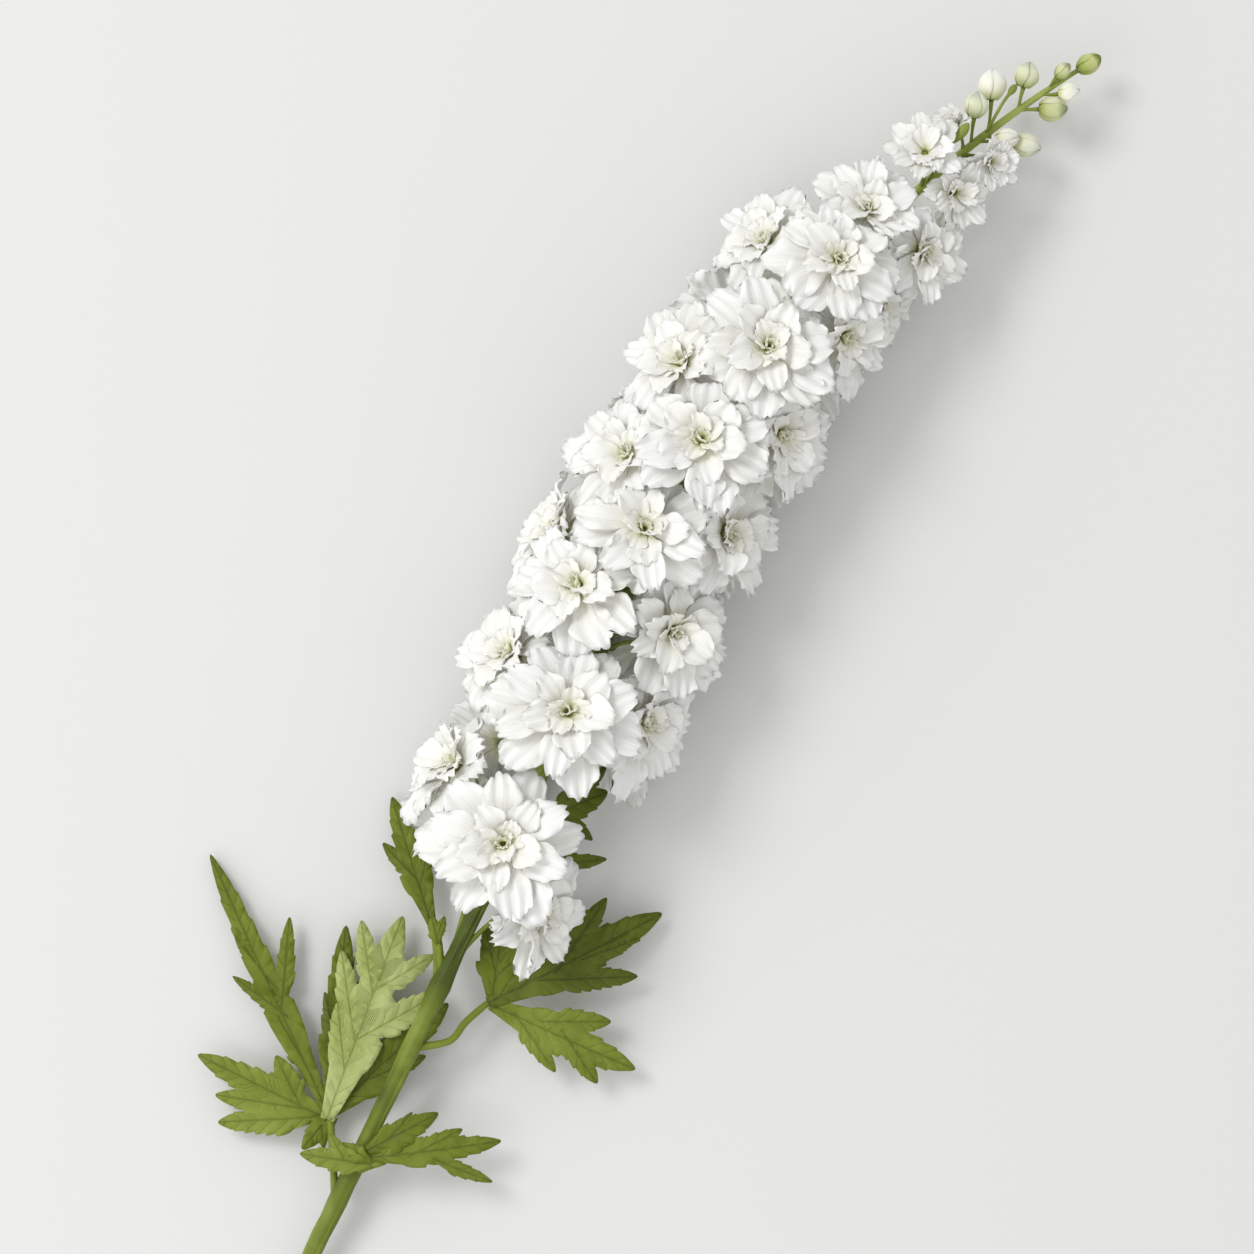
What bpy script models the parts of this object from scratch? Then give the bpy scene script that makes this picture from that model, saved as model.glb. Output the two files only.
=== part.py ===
"""Cut stem of double white delphinium that lies on a flat surface, with its tip towards +X.

The stem's cut end is at the -X end. +Y is on the left of someone who looks along the stem from its cut
end, and +Z is up. Sizes in this script are millimetres until a mesh is made.
"""

import math
import random

import bpy
from mathutils import Vector, geometry

MM = 0.001
SEED = 11

# The part's origin is the middle of its footprint, measured from the middle of the cut end.
ORIGIN = Vector((347.5, 11.5, 0.0))

# Stem
STRAIGHT_LENGTH = 425.0
BEND_RADIUS = 487.0
STEM_LENGTH = 700.0
STEM_SIDES = 8
STEM_STEPS = 18
REST_LENGTH = 26.0
FLAT_LENGTH = 24.0
CUT_RADIUS = 3.6
CUT_HEIGHT = CUT_RADIUS * math.cos(math.pi / STEM_SIDES)
# Distance along the stem, then the height of its centre line or its radius there.
STEM_HEIGHTS = (
    (0, CUT_HEIGHT), (REST_LENGTH, CUT_HEIGHT), (90, 10), (180, 22), (270, 31.5),
    (360, 34), (450, 34), (540, 31.5), (630, 27), (STEM_LENGTH, 23),
)
STEM_RADII = ((0, CUT_RADIUS), (400, 3.2), (560, 2.4), (650, 1.7), (STEM_LENGTH, 1.0))

# Flower stalks
STALK_SIDES = 4
STALK_STEPS = 3
STALK_RADIUS = 1.15
STALK_DROP = 15.0
STALK_SEAT = 2.0
STALK_BEND = 0.35
JOINT_GAP = 0.3

# Blooms: rows round the stem. Each row has the throats' distance from the stem's centre line as a share
# of the bloom's radius, then each bloom as distance along the stem, angle round it from straight up with
# left positive, and outer radius.
BLOOM_ROWS = {
    "front": (1.1, ((294, 3, 31), (353, 2, 31), (401, 34, 30), (433, 9, 29), (475, 4, 31),
                    (521, 2, 30), (567, 4, 27), (591, 18, 22))),
    "left": (1.2, ((312, 85, 27), (364, 68, 28), (417, 88, 29), (456, 45, 28), (497, 48, 28),
                   (556, 68, 25), (625, 26, 17), (645, 60, 10))),
    "right": (0.98, ((273, -63, 25), (362, -67, 29), (401, -49, 29), (447, -57, 29), (496, -52, 28),
                     (546, -45, 27), (568, -85, 22), (597, -55, 23), (624, -38, 17), (645, -45, 14))),
    "back_left": (0.95, ((293, 118, 24), (328, 128, 27), (376, 138, 27), (425, 140, 27),
                         (478, 138, 27), (526, 112, 25), (550, 160, 23), (600, 120, 16))),
    "back_right": (0.95, ((345, -140, 27), (393, -140, 27), (440, -138, 27), (489, -138, 26),
                          (530, -138, 24), (584, -130, 18))),
}
FACE_LEAN = math.radians(8)
# Each bloom is turned a golden angle from the one before.
GOLDEN_TURN = math.radians(137.5)
# Blooms beyond BACK_FROM lie underneath. The shares say how much of its angle round the stem, measured
# from straight up or for those underneath from straight down, a bloom's face keeps.
BACK_FROM = math.radians(100)
SIDE_FACING = 0.72
BACK_FACING = 0.35
CORE_RADIUS = 12.0
PETALS = 5
# How sharply petals bend where they meet a neighbour, how far one bloom laps over the next, how much more
# a difference in height parts two blooms than one in plan, and how near blooms are neighbours.
CROWDING = 8
LAP = 0.22
STACKING = 1.9
NEIGHBOUR_REACH = 1.5

# Sizes of a bloom 30 mm in radius, which the others are scaled from. Each whorl has the radius and height
# of its rim, its radius in the notch between petals as a share, its turn in petals, and its thickness.
FULL_RADIUS = 30.0
FOOT_DEPTH = 6.0
THROAT_HEIGHT = 3.0
WHORLS = {
    "outer": (31.0, 2.0, 0.66, 0.0, 0.8),
    "middle": (24.0, 7.5, 0.62, 0.5, 0.9),
    "inner": (12.5, 11.5, 0.66, 0.0, 1.3),
}
WAVE = 1.1
PETAL_LENGTHS = (0.92, 1.06)
PETAL_LIFT = 1.2
SIDE_LENGTH = 0.9
# Radius and height of the rings below, between and above the whorls.
FOOT_RING = (2.2, -FOOT_DEPTH)
LOWER_WAIST = (5.2, 0.6)
UPPER_WAIST = (3.6, 4.2)

# Closed buds near the tip, the one on the stem's end last. Each has its distance along the stem, offset
# to the left, height over the stem's centre line, length and radius.
BUDS = (
    (667, 15, 2, 13, 5.6), (656, 12, 7, 11, 4.8), (681, 10, 2, 11, 5.0), (658, -7, 5, 10, 4.0),
    (664, -14, 0, 12, 4.8), (682, -8, 2, 12, 5.3), (691, -6, 5, 9, 4.0), (694, 3, 4, 8, 3.0),
    (705.8, 0, 0, 11, 4.2),
)
BUD_SIDES = 8
BUD_FLUTE = 0.82
BUD_SPLAY = 12.0
# Distance up the bud and girth there, as shares of its length and radius.
BUD_LEVELS = ((0.0, 0.42), (0.3, 0.95), (0.62, 0.92), (0.88, 0.5))
BUD_STALK_RADIUS = 0.8

# Leaves. The edge of a lobe narrows to its root and has teeth that point to its tip, each as deep as
# TOOTH_DEPTH says of the half width there.
BLADE_THICKNESS = 0.8
LONG_LOBE = 40.0
MIDDLE_LOBE = 22.0
LOBE_ROOT = ((0.0, 0.3), (0.25, 0.66))
TEETH_FROM = 0.46
TEETH_SPAN = 0.46
TEETH_TAPER = 0.62
TOOTH_LENGTH = 0.05
TOOTH_DEPTH = 0.72
LEAF_FOLD = 0.25
LEAF_STALK_RADIUS = 1.3
STALK_IN_BLADE = 5.0
# Each leaf has the foot of its blade, the height of its lobes' tips, how far it arches, where its stalk
# leaves the stem and the points it passes, and its lobes as root, tip and width. Roots and tips are
# measured from the foot.
LEAVES = {
    "leaf_lower_left": dict(
        foot=(155, 19, 9), tips=3, arch=3, stem_at=122, route=((140, 10, 12),),
        lobes=(
            ((0, 0), (77, 93), 19), ((36, 40), (38, 59), 9), ((43, 49), (49, 65), 8),
            ((35, 41), (66, 50), 11), ((14, 16), (27, 34), 9), ((0, -1), (75, 28), 20),
            ((-2, 0), (89, 8), 25), ((37, 4), (63, 24), 10), ((57, 5), (78, 22), 9),
            ((62, 5), (79, -9), 10), ((38, 3), (66, -19), 11), ((24, 2), (45, 16), 10),
            ((-1, 1), (63, -24), 19), ((-2, -4), (-1, 60), 20), ((-2, 12), (-13, 45), 11),
            ((-3, 6), (-22, 39), 11), ((-2, 14), (11, 30), 11), ((2, -1), (-18, 3), 11),
        ),
    ),
    "leaf_middle_right": dict(
        foot=(227, -21, 17), tips=9, arch=4, stem_at=197, route=((206, -13, 22), (216, -16, 19)),
        lobes=(
            ((0, 0), (65, -50), 23), ((26, -21), (59, -26), 12), ((37, -30), (49, -43), 9),
            ((20, -17), (36, -50), 12), ((15, -13), (45, -19), 11), ((0, -1), (1, -68), 19),
            ((3, -28), (14, -48), 12), ((3, -37), (-10, -54), 11), ((1, -15), (-13, -36), 11),
            ((2, -1), (36, 10), 18), ((13, 1), (27, 13), 8), ((15, 1), (33, -7), 11),
        ),
    ),
    "leaf_lower_right": dict(
        foot=(146, -7, 24), tips=15, arch=4, stem_at=138, route=(),
        lobes=(
            ((2, 3), (31, -44), 15), ((12, -15), (28, -26), 9), ((14, -24), (15, -47), 9),
            ((3, 6), (31, -15), 14), ((0, 0), (-9, 30), 13), ((1, 2), (2, 17), 8),
        ),
    ),
    "leaf_upper_left": dict(
        foot=(246, 14, 14), tips=4, arch=2, stem_at=222, route=((238, 8, 22),),
        lobes=(((0, 0), (41, 39), 17), ((19, 18), (23, 32), 8)),
    ),
    "leaf_small_left": dict(
        foot=(241, 8, 28), tips=29, arch=1, stem_at=228, route=(),
        lobes=(((0, 0), (10, 8), 8), ((3, 2), (12, 3), 5)),
    ),
    "leaf_upper_right": dict(
        foot=(308, -9, 26), tips=24, arch=2, stem_at=297, route=(),
        lobes=(((0, 0), (21, -19), 17), ((13, -6), (29, -14), 11), ((6, -5), (0, -21), 8)),
    ),
    "leaf_small_right": dict(
        foot=(288, -14, 22), tips=18, arch=2, stem_at=274, route=(),
        lobes=(((0, 0), (15, -25), 10), ((7, -9), (17, -9), 6)),
    ),
}


def clear_scene():
    for existing in list(bpy.data.objects):
        bpy.data.objects.remove(existing, do_unlink=True)


def linear(channel):
    """One channel of an sRGB colour as the linear value that materials hold."""
    return channel / 12.92 if channel <= 0.04045 else ((channel + 0.055) / 1.055) ** 2.4


def make_material(name, colour, roughness):
    """colour is an sRGB hex string."""
    red, green, blue = (linear(int(colour[i : i + 2], 16) / 255) for i in (0, 2, 4))
    material = bpy.data.materials.new(name)
    material.use_nodes = True
    shader = material.node_tree.nodes["Principled BSDF"]
    shader.inputs["Base Color"].default_value = (red, green, blue, 1)
    shader.inputs["Roughness"].default_value = roughness
    shader.inputs["Metallic"].default_value = 0
    return material


def curve_through(points, along):
    """The value at this distance of a smooth curve through (distance, value) pairs."""
    along = min(max(along, points[0][0]), points[-1][0])
    last = len(points) - 1
    i = 0
    while i < last - 1 and along > points[i + 1][0]:
        i += 1
    (x0, y0), (x1, y1) = points[i], points[i + 1]
    before, after = points[max(i - 1, 0)], points[min(i + 2, last)]
    slope0 = (y1 - before[1]) / (x1 - before[0])
    slope1 = (after[1] - y0) / (after[0] - x0)
    if i == 0:
        slope0 = 0.0
    length = x1 - x0
    t = (along - x0) / length
    return (
        y0 * (1 + 2 * t) * (1 - t) ** 2
        + slope0 * length * t * (1 - t) ** 2
        + y1 * t * t * (3 - 2 * t)
        + slope1 * length * t * t * (t - 1)
    )


def stem_point(along):
    """The centre line: straight from the cut end, then bending towards -Y."""
    turn = max(along - STRAIGHT_LENGTH, 0) / BEND_RADIUS
    x = min(along, STRAIGHT_LENGTH) + BEND_RADIUS * math.sin(turn)
    y = -BEND_RADIUS * (1 - math.cos(turn))
    height = CUT_HEIGHT if along <= REST_LENGTH else curve_through(STEM_HEIGHTS, along)
    return Vector((x, y, height))


def stem_frame(along):
    """Unit vectors along the stem, to its left, and up across it."""
    ahead = (stem_point(along + 1) - stem_point(along - 1)).normalized()
    left = Vector((0, 0, 1)).cross(ahead).normalized()
    return ahead, left, ahead.cross(left)


def outward(along, angle):
    """Unit vector across the stem, turned from straight up towards the left."""
    _, left, up = stem_frame(along)
    return up * math.cos(angle) + left * math.sin(angle)


def facing_angle(angle):
    """Side blooms turn towards the light above, and those underneath press flat on the surface."""
    size = abs(angle)
    turned = size * SIDE_FACING if size < BACK_FROM else math.pi - (math.pi - size) * BACK_FACING
    return math.copysign(turned, angle)


def add_object(name, points, faces, material):
    mesh = bpy.data.meshes.new(name)
    mesh.from_pydata([(point - ORIGIN) * MM for point in points], [], faces)
    mesh.materials.append(material)
    mesh.validate()
    made = bpy.data.objects.new(name, mesh)
    bpy.context.scene.collection.objects.link(made)
    return made


def tube_rings(path, radii, sides, up):
    """Loops of points round a path, with a flat side facing down."""
    rings = []
    for i, centre in enumerate(path):
        ahead = (path[min(i + 1, len(path) - 1)] - path[max(i - 1, 0)]).normalized()
        left = up.cross(ahead).normalized()
        over = ahead.cross(left)
        ring = []
        for k in range(sides):
            turn = 2 * math.pi * (k + 0.5) / sides
            ring.append(centre + (left * math.sin(turn) - over * math.cos(turn)) * radii[i])
        rings.append(ring)
    return rings


def tube(path, radii, sides, up=Vector((0, 0, 1))):
    """Points and faces of a closed tube."""
    rings = tube_rings(path, radii, sides, up)
    points = [point for ring in rings for point in ring]
    faces = [tuple(reversed(range(sides))), tuple(range(len(points) - sides, len(points)))]
    for i in range(len(rings) - 1):
        for k in range(sides):
            near, far = i * sides, (i + 1) * sides
            after = (k + 1) % sides
            faces.append((near + k, near + after, far + after, far + k))
    return points, faces


def bezier(start, first, second, end, steps):
    """Points along a cubic curve, both ends included."""
    points = []
    for i in range(steps + 1):
        t = i / steps
        a = start * (1 - t) ** 3 + first * 3 * t * (1 - t) ** 2
        points.append(a + second * 3 * t * t * (1 - t) + end * t**3)
    return points


class Flower:
    """Place and size of one bloom: its throat, the way it faces, its turn and its outer radius."""

    def __init__(self, name, turn, along, angle, radius, spread):
        self.name = name
        self.along = along
        self.angle = math.radians(angle)
        self.radius = radius
        self.scale = radius / FULL_RADIUS
        self.out = outward(along, self.angle)
        self.distance = radius * spread
        self.centre = stem_point(along) + self.out * self.distance
        self.ahead = stem_frame(along)[0]
        face = outward(along, facing_angle(self.angle))
        self.face = (face * math.cos(FACE_LEAN) + self.ahead * math.sin(FACE_LEAN)).normalized()
        self.foot = self.centre - self.face * FOOT_DEPTH * self.scale
        across = self.face.cross(self.ahead).normalized()
        self.first = across * math.cos(turn) + across.cross(self.face) * math.sin(turn)
        self.second = self.face.cross(self.first)


def bloom_flowers():
    flowers = []
    for row, (spread, blooms) in BLOOM_ROWS.items():
        for number, (along, angle, radius) in enumerate(blooms, 1):
            turn = len(flowers) * GOLDEN_TURN
            flowers.append(Flower(f"bloom_{row}_{number}", turn, along, angle, radius, spread))
    return flowers


def cell_planes(flower, others, buds):
    """Planes that part this bloom from its neighbours, the stem's core and the surface it lies on.

    Each is a unit normal and the room from the throat's foot to the plane along it. A plane between two
    blooms leans, so that the higher one and the one nearer the tip lap over the other.
    """
    planes = [
        (-flower.out, flower.distance - CORE_RADIUS * flower.scale),
        (Vector((0, 0, -1)), flower.centre.z),
    ]
    for other in others:
        gap = other.centre - flower.centre
        if other is flower or gap.length > (flower.radius + other.radius) * NEIGHBOUR_REACH:
            continue
        stacked = Vector((gap.x, gap.y, gap.z * STACKING)).normalized()
        lean = (flower.out + other.out) * LAP * stacked.dot(flower.ahead + other.ahead) / 2
        normal = (stacked + lean).normalized()
        share = flower.radius / (flower.radius + other.radius)
        planes.append((normal, gap.dot(normal) * share - JOINT_GAP / 2))
    for bud in buds:
        gap = bud.centre - flower.centre
        planes.append((gap.normalized(), gap.length - bud.reach - JOINT_GAP))
    return planes


def fit_in_cell(offset, planes):
    """Draws a point, given from the throat's foot, in towards it until it clears every plane."""
    reach = offset.length
    if reach < 1e-6:
        return offset
    heading = offset / reach
    crowding = reach**-CROWDING
    for normal, room in planes:
        towards = heading.dot(normal)
        if towards > 0:
            crowding += (towards / room) ** CROWDING
    return heading * crowding ** (-1 / CROWDING)


def whorl_rims(whorl, scale, samples, draw):
    """Lower and upper rim of a whorl of petals as (radius, turn, height), notch first in each petal."""
    radius, height, notch, turn, thickness = WHORLS[whorl]
    lower, upper = [], []
    for petal in range(PETALS):
        length = radius * draw.uniform(*PETAL_LENGTHS)
        lift = height + draw.uniform(-PETAL_LIFT, PETAL_LIFT)
        for k in range(samples):
            share = (notch, 1.0, SIDE_LENGTH)[k]
            wave = 0.0 if k == 0 else WAVE * (1 if k % 2 else -1)
            angle = 2 * math.pi * (petal + turn + k / samples) / PETALS
            rim = length * share * scale
            level = (lift * share + wave * share) * scale
            lower.append((rim, angle, level - thickness / 2))
            upper.append((rim, angle, level + thickness / 2))
    return lower, upper


def even_ring(ring, count, scale):
    radius, height = ring
    return [(radius * scale, 2 * math.pi * k / count, height * scale) for k in range(count)]


def bloom_rings(scale, samples, draw):
    """Rings from the foot, out and back over each whorl in turn, up to the inner one."""
    count = PETALS * samples
    rings = [even_ring(FOOT_RING, count, scale)]
    rings += whorl_rims("outer", scale, samples, draw)
    rings.append(even_ring(LOWER_WAIST, count, scale))
    rings += whorl_rims("middle", scale, samples, draw)
    rings.append(even_ring(UPPER_WAIST, count, scale))
    rings += whorl_rims("inner", scale, samples, draw)
    return rings


def bloom_mesh(flower, planes, samples, draw):
    """Points and faces of one bloom in place. Both sides of a petal are split alike."""
    rings = bloom_rings(flower.scale, samples, draw)
    count = len(rings[0])

    def place(radius, turn, height):
        flat = flower.first * math.cos(turn) + flower.second * math.sin(turn)
        return flower.centre + fit_in_cell(flat * radius + flower.face * height, planes)

    points = [place(*sample) for ring in rings for sample in ring]
    foot = len(points)
    throat = foot + 1
    points.append(flower.foot)
    points.append(flower.centre + flower.face * THROAT_HEIGHT * flower.scale)
    top = (len(rings) - 1) * count
    faces = []
    for k in range(count):
        after = (k + 1) % count
        faces.append((foot, after, k))
        faces.append((throat, top + k, top + after))
        for i in range(len(rings) - 1):
            near, far = i * count, (i + 1) * count
            if i % 3 == 2:
                faces.append((near + k, near + after, far + k))
                faces.append((near + after, far + after, far + k))
            else:
                faces.append((near + k, near + after, far + after))
                faces.append((near + k, far + after, far + k))
    return points, faces


def flower_stalk(flower):
    """Rises from the stem below the bloom, then turns out to its foot."""
    start = stem_point(flower.along - STALK_DROP * flower.scale)
    end = flower.foot - flower.face * JOINT_GAP
    bend = stem_point(flower.along) + flower.out * CORE_RADIUS * flower.scale
    before = flower.foot - flower.face * flower.distance * STALK_BEND
    seat = end - flower.face * STALK_SEAT
    path = bezier(start, bend.lerp(start, STALK_BEND), before, seat, STALK_STEPS) + [end]
    radius = STALK_RADIUS * (1 + flower.scale) / 2
    return tube(path, [radius] * len(path), STALK_SIDES, flower.ahead.cross(flower.out))


class Bud:
    """Place, size and heading of one closed bud."""

    def __init__(self, number, along, left, over, length, radius):
        self.name = f"bud_{number}"
        self.length = length
        self.radius = radius
        self.reach = length / 2 + 1
        self.along = along
        ahead, aside, up = stem_frame(along)
        offset = aside * left + up * over
        self.centre = stem_point(along) + offset
        self.face = (ahead + offset / BUD_SPLAY).normalized()
        self.side = self.face.cross(up).normalized()
        self.foot = self.centre - self.face * length / 2


def bud_mesh(bud):
    """A drop with a flute between each two sepals."""
    over = bud.face.cross(bud.side)
    points, faces = [], []
    for share, girth in BUD_LEVELS:
        for k in range(BUD_SIDES):
            turn = 2 * math.pi * k / BUD_SIDES
            flute = 1.0 if k % 2 else BUD_FLUTE
            across = bud.side * math.cos(turn) + over * math.sin(turn)
            points.append(bud.foot + bud.face * share * bud.length + across * bud.radius * girth * flute)
    tip = len(points)
    points.append(bud.foot + bud.face * bud.length)
    last = (len(BUD_LEVELS) - 1) * BUD_SIDES
    faces.append(tuple(reversed(range(BUD_SIDES))))
    for k in range(BUD_SIDES):
        after = (k + 1) % BUD_SIDES
        faces.append((last + k, last + after, tip))
        for i in range(len(BUD_LEVELS) - 1):
            near, far = i * BUD_SIDES, (i + 1) * BUD_SIDES
            faces.append((near + k, near + after, far + after, far + k))
    return points, faces


def bud_stalk(bud):
    start = stem_point(min(bud.along - bud.length, STEM_LENGTH - 10))
    end = bud.foot - bud.face * JOINT_GAP
    before = bud.foot - bud.face * (end - start).length * 0.5
    path = bezier(start, start.lerp(before, 0.5), before, end, 2)
    return tube(path, [BUD_STALK_RADIUS] * len(path), STALK_SIDES)


def lobe_outline(root, tip, width):
    """Outline of one lobe in plan: a narrow root, then forward-pointing teeth up to the tip."""
    root, tip = Vector(root), Vector(tip)
    ahead = tip - root
    aside = Vector((-ahead.y, ahead.x)).normalized() * width / 2
    teeth = 3 if ahead.length > LONG_LOBE else 2 if ahead.length > MIDDLE_LOBE else 1
    profile = list(LOBE_ROOT)
    for k in range(teeth):
        share = TEETH_FROM + TEETH_SPAN * k / teeth
        half = 1 - TEETH_TAPER * k / teeth
        profile += [(share, half), (share + TOOTH_LENGTH, half * TOOTH_DEPTH)]
    right = [root + ahead * share - aside * half for share, half in profile]
    left = [root + ahead * share + aside * half for share, half in reversed(profile)]
    return right + [tip] + left


def inside(point, outline):
    """Whether a point in plan lies within a closed outline."""
    crossed = False
    for start, end in zip(outline, outline[1:] + outline[:1]):
        if (start.y > point.y) != (end.y > point.y):
            across = start.x + (end.x - start.x) * (point.y - start.y) / (end.y - start.y)
            crossed ^= point.x < across
    return crossed


def open_edges(triangles):
    """Edges that only one triangle has, each as it runs in that triangle."""
    edges = {edge for a, b, c in triangles for edge in ((a, b), (b, c), (c, a))}
    return sorted((a, b) for a, b in edges if (b, a) not in edges)


def leaf_plan(leaf):
    """The lobes' outlines merged into one flat sheet of triangles, with a crease along each long rib."""
    outlines = [lobe_outline(*lobe) for lobe in leaf["lobes"]]
    corners = [corner for outline in outlines for corner in outline]
    loops = []
    for outline in outlines:
        first = sum(len(loop) for loop in loops)
        loops.append(list(range(first, first + len(outline))))
    merged, _, triangles, *_ = geometry.delaunay_2d_cdt(corners, [], loops, 1, 1e-3)
    rim = open_edges(triangles)
    used = sorted({end for edge in rim for end in edge})
    points = [merged[index] for index in used]
    edges = [(used.index(a), used.index(b)) for a, b in rim]
    for root, tip, _ in leaf["lobes"]:
        if (Vector(tip) - Vector(root)).length > LONG_LOBE:
            edges.append((len(points), len(points) + 1))
            points += [Vector(root), Vector(tip)]
    sheet, _, triangles, *_ = geometry.delaunay_2d_cdt(points, edges, [], 0, 1e-3)
    kept = []
    for triangle in triangles:
        middle = sum((sheet[index] for index in triangle), Vector((0, 0))) / 3
        if any(inside(middle, outline) for outline in outlines):
            kept.append(tuple(triangle))
    return sheet, kept


def rib_distance(point, leaf):
    nearest = math.inf
    for root, tip, _ in leaf["lobes"]:
        root, tip = Vector(root), Vector(tip)
        ahead = tip - root
        share = min(max((point - root).dot(ahead) / ahead.length_squared, 0), 1)
        nearest = min(nearest, (point - root - ahead * share).length)
    return nearest


def leaf_height(point, leaf):
    """The blade slopes from its foot to the tips, arches between them and folds up from each rib."""
    span = max(Vector(tip).length for _, tip, _ in leaf["lobes"])
    share = min(point.length / span, 1)
    slope = leaf["foot"][2] * (1 - share) + leaf["tips"] * share
    return slope + leaf["arch"] * math.sin(math.pi * share) + LEAF_FOLD * rib_distance(point, leaf)


def blade_mesh(leaf):
    plan, triangles = leaf_plan(leaf)
    foot = Vector(leaf["foot"])
    points = []
    for side in (0.5, -0.5):
        for flat in plan:
            height = leaf_height(flat, leaf) + side * BLADE_THICKNESS
            points.append(Vector((foot.x + flat.x, foot.y + flat.y, height)))
    count = len(plan)
    faces = list(triangles)
    faces += [(count + c, count + b, count + a) for a, b, c in triangles]
    for a, b in open_edges(triangles):
        faces.append((a, count + a, count + b))
        faces.append((a, count + b, b))
    return points, faces


def leaf_stalk(leaf):
    """From just off the stem's side to a little way into the blade."""
    foot = Vector(leaf["foot"])
    start = stem_point(leaf["stem_at"])
    route = [Vector(point) for point in leaf["route"]] + [foot]
    ahead = (route[0] - start).normalized()
    stem_ahead = stem_frame(leaf["stem_at"])[0]
    clear = curve_through(STEM_RADII, leaf["stem_at"]) + JOINT_GAP
    clear += LEAF_STALK_RADIUS * abs(ahead.dot(stem_ahead))
    start += ahead * clear / ahead.cross(stem_ahead).length
    first_tip = Vector(leaf["lobes"][0][1]).normalized()
    end = foot + first_tip.to_3d() * STALK_IN_BLADE
    end.z = leaf_height(first_tip * STALK_IN_BLADE, leaf)
    path = [start] + route + [end]
    radii = [LEAF_STALK_RADIUS] * (len(path) - 1) + [LEAF_STALK_RADIUS * 0.6]
    return tube(path, radii, STALK_SIDES)


def union(name, shapes, material, solver="EXACT"):
    """Joins overlapping closed shapes, each given as points and faces, into one body."""
    first = add_object(name, *shapes[0], material)
    if len(shapes) == 1:
        return first
    group = bpy.data.collections.new(name + "_shapes")
    bpy.context.scene.collection.children.link(group)
    for points, faces in shapes[1:]:
        shape = add_object(name + "_shape", points, faces, material)
        bpy.context.scene.collection.objects.unlink(shape)
        group.objects.link(shape)
    joined = first.modifiers.new("Union", "BOOLEAN")
    joined.operation = "UNION"
    joined.operand_type = "COLLECTION"
    joined.collection = group
    joined.solver = solver
    graph = bpy.context.evaluated_depsgraph_get()
    mesh = bpy.data.meshes.new_from_object(first.evaluated_get(graph))
    first.modifiers.clear()
    first.data = mesh
    for shape in list(group.objects):
        bpy.data.objects.remove(shape, do_unlink=True)
    bpy.data.collections.remove(group)
    return first


def make_stem(flowers, buds, material):
    step = (STEM_LENGTH - REST_LENGTH) / STEM_STEPS
    stations = [0, FLAT_LENGTH] + [REST_LENGTH + step * k for k in range(STEM_STEPS + 1)]
    path = [stem_point(along) for along in stations]
    radii = [curve_through(STEM_RADII, along) for along in stations]
    shapes = [tube(path, radii, STEM_SIDES)]
    shapes += [flower_stalk(flower) for flower in flowers]
    shapes += [bud_stalk(bud) for bud in buds[:-1]]
    return union("stem", shapes, material, "MANIFOLD")


def make_blooms(flowers, buds, material):
    for number, flower in enumerate(flowers):
        samples = 2 if flower.name.startswith("bloom_back") else 3
        planes = cell_planes(flower, flowers, buds)
        points, faces = bloom_mesh(flower, planes, samples, random.Random(SEED + number))
        add_object(flower.name, points, faces, material)


def make_leaves(material):
    for name, leaf in LEAVES.items():
        union(name, [blade_mesh(leaf), leaf_stalk(leaf)], material)


def build():
    clear_scene()
    stem_green = make_material("stem_green", "8A9A4B", 0.5)
    leaf_green = make_material("leaf_green", "77923F", 0.55)
    petal_white = make_material("petal_white", "F7F6EF", 0.6)
    bud_green = make_material("bud_green", "D9E2B4", 0.55)
    flowers = bloom_flowers()
    buds = [Bud(number, *bud) for number, bud in enumerate(BUDS, 1)]
    make_stem(flowers, buds, stem_green)
    make_leaves(leaf_green)
    make_blooms(flowers, buds, petal_white)
    for bud in buds:
        add_object(bud.name, *bud_mesh(bud), bud_green)


build()
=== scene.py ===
import math
import random

import bpy
import numpy as np
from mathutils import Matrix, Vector, geometry


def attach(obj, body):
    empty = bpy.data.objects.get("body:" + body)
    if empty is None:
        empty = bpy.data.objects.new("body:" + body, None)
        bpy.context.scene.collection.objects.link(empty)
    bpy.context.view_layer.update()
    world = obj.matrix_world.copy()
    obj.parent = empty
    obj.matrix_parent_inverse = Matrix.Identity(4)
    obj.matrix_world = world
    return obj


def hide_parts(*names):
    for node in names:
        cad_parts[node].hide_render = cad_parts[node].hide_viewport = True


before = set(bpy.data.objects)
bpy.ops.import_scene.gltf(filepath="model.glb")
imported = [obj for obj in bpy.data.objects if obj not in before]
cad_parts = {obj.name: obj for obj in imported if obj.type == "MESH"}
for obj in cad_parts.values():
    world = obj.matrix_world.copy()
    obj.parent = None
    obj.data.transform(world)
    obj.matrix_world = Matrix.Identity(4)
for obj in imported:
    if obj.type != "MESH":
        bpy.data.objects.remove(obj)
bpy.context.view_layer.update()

# Lie of the stem. A cut stem of double delphinium lies on its side with its tip towards +X, straight from
# the cut end and then bending to its right. Sizes are millimetres until a mesh is placed.
MM = 0.001
ORIGIN = Vector((347.5, 11.5, 0.0))
STRAIGHT_LENGTH = 425.0
BEND_RADIUS = 487.0
STEM_LENGTH = 700.0
REST_LENGTH = 26.0
CUT_RADIUS = 3.6
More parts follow.
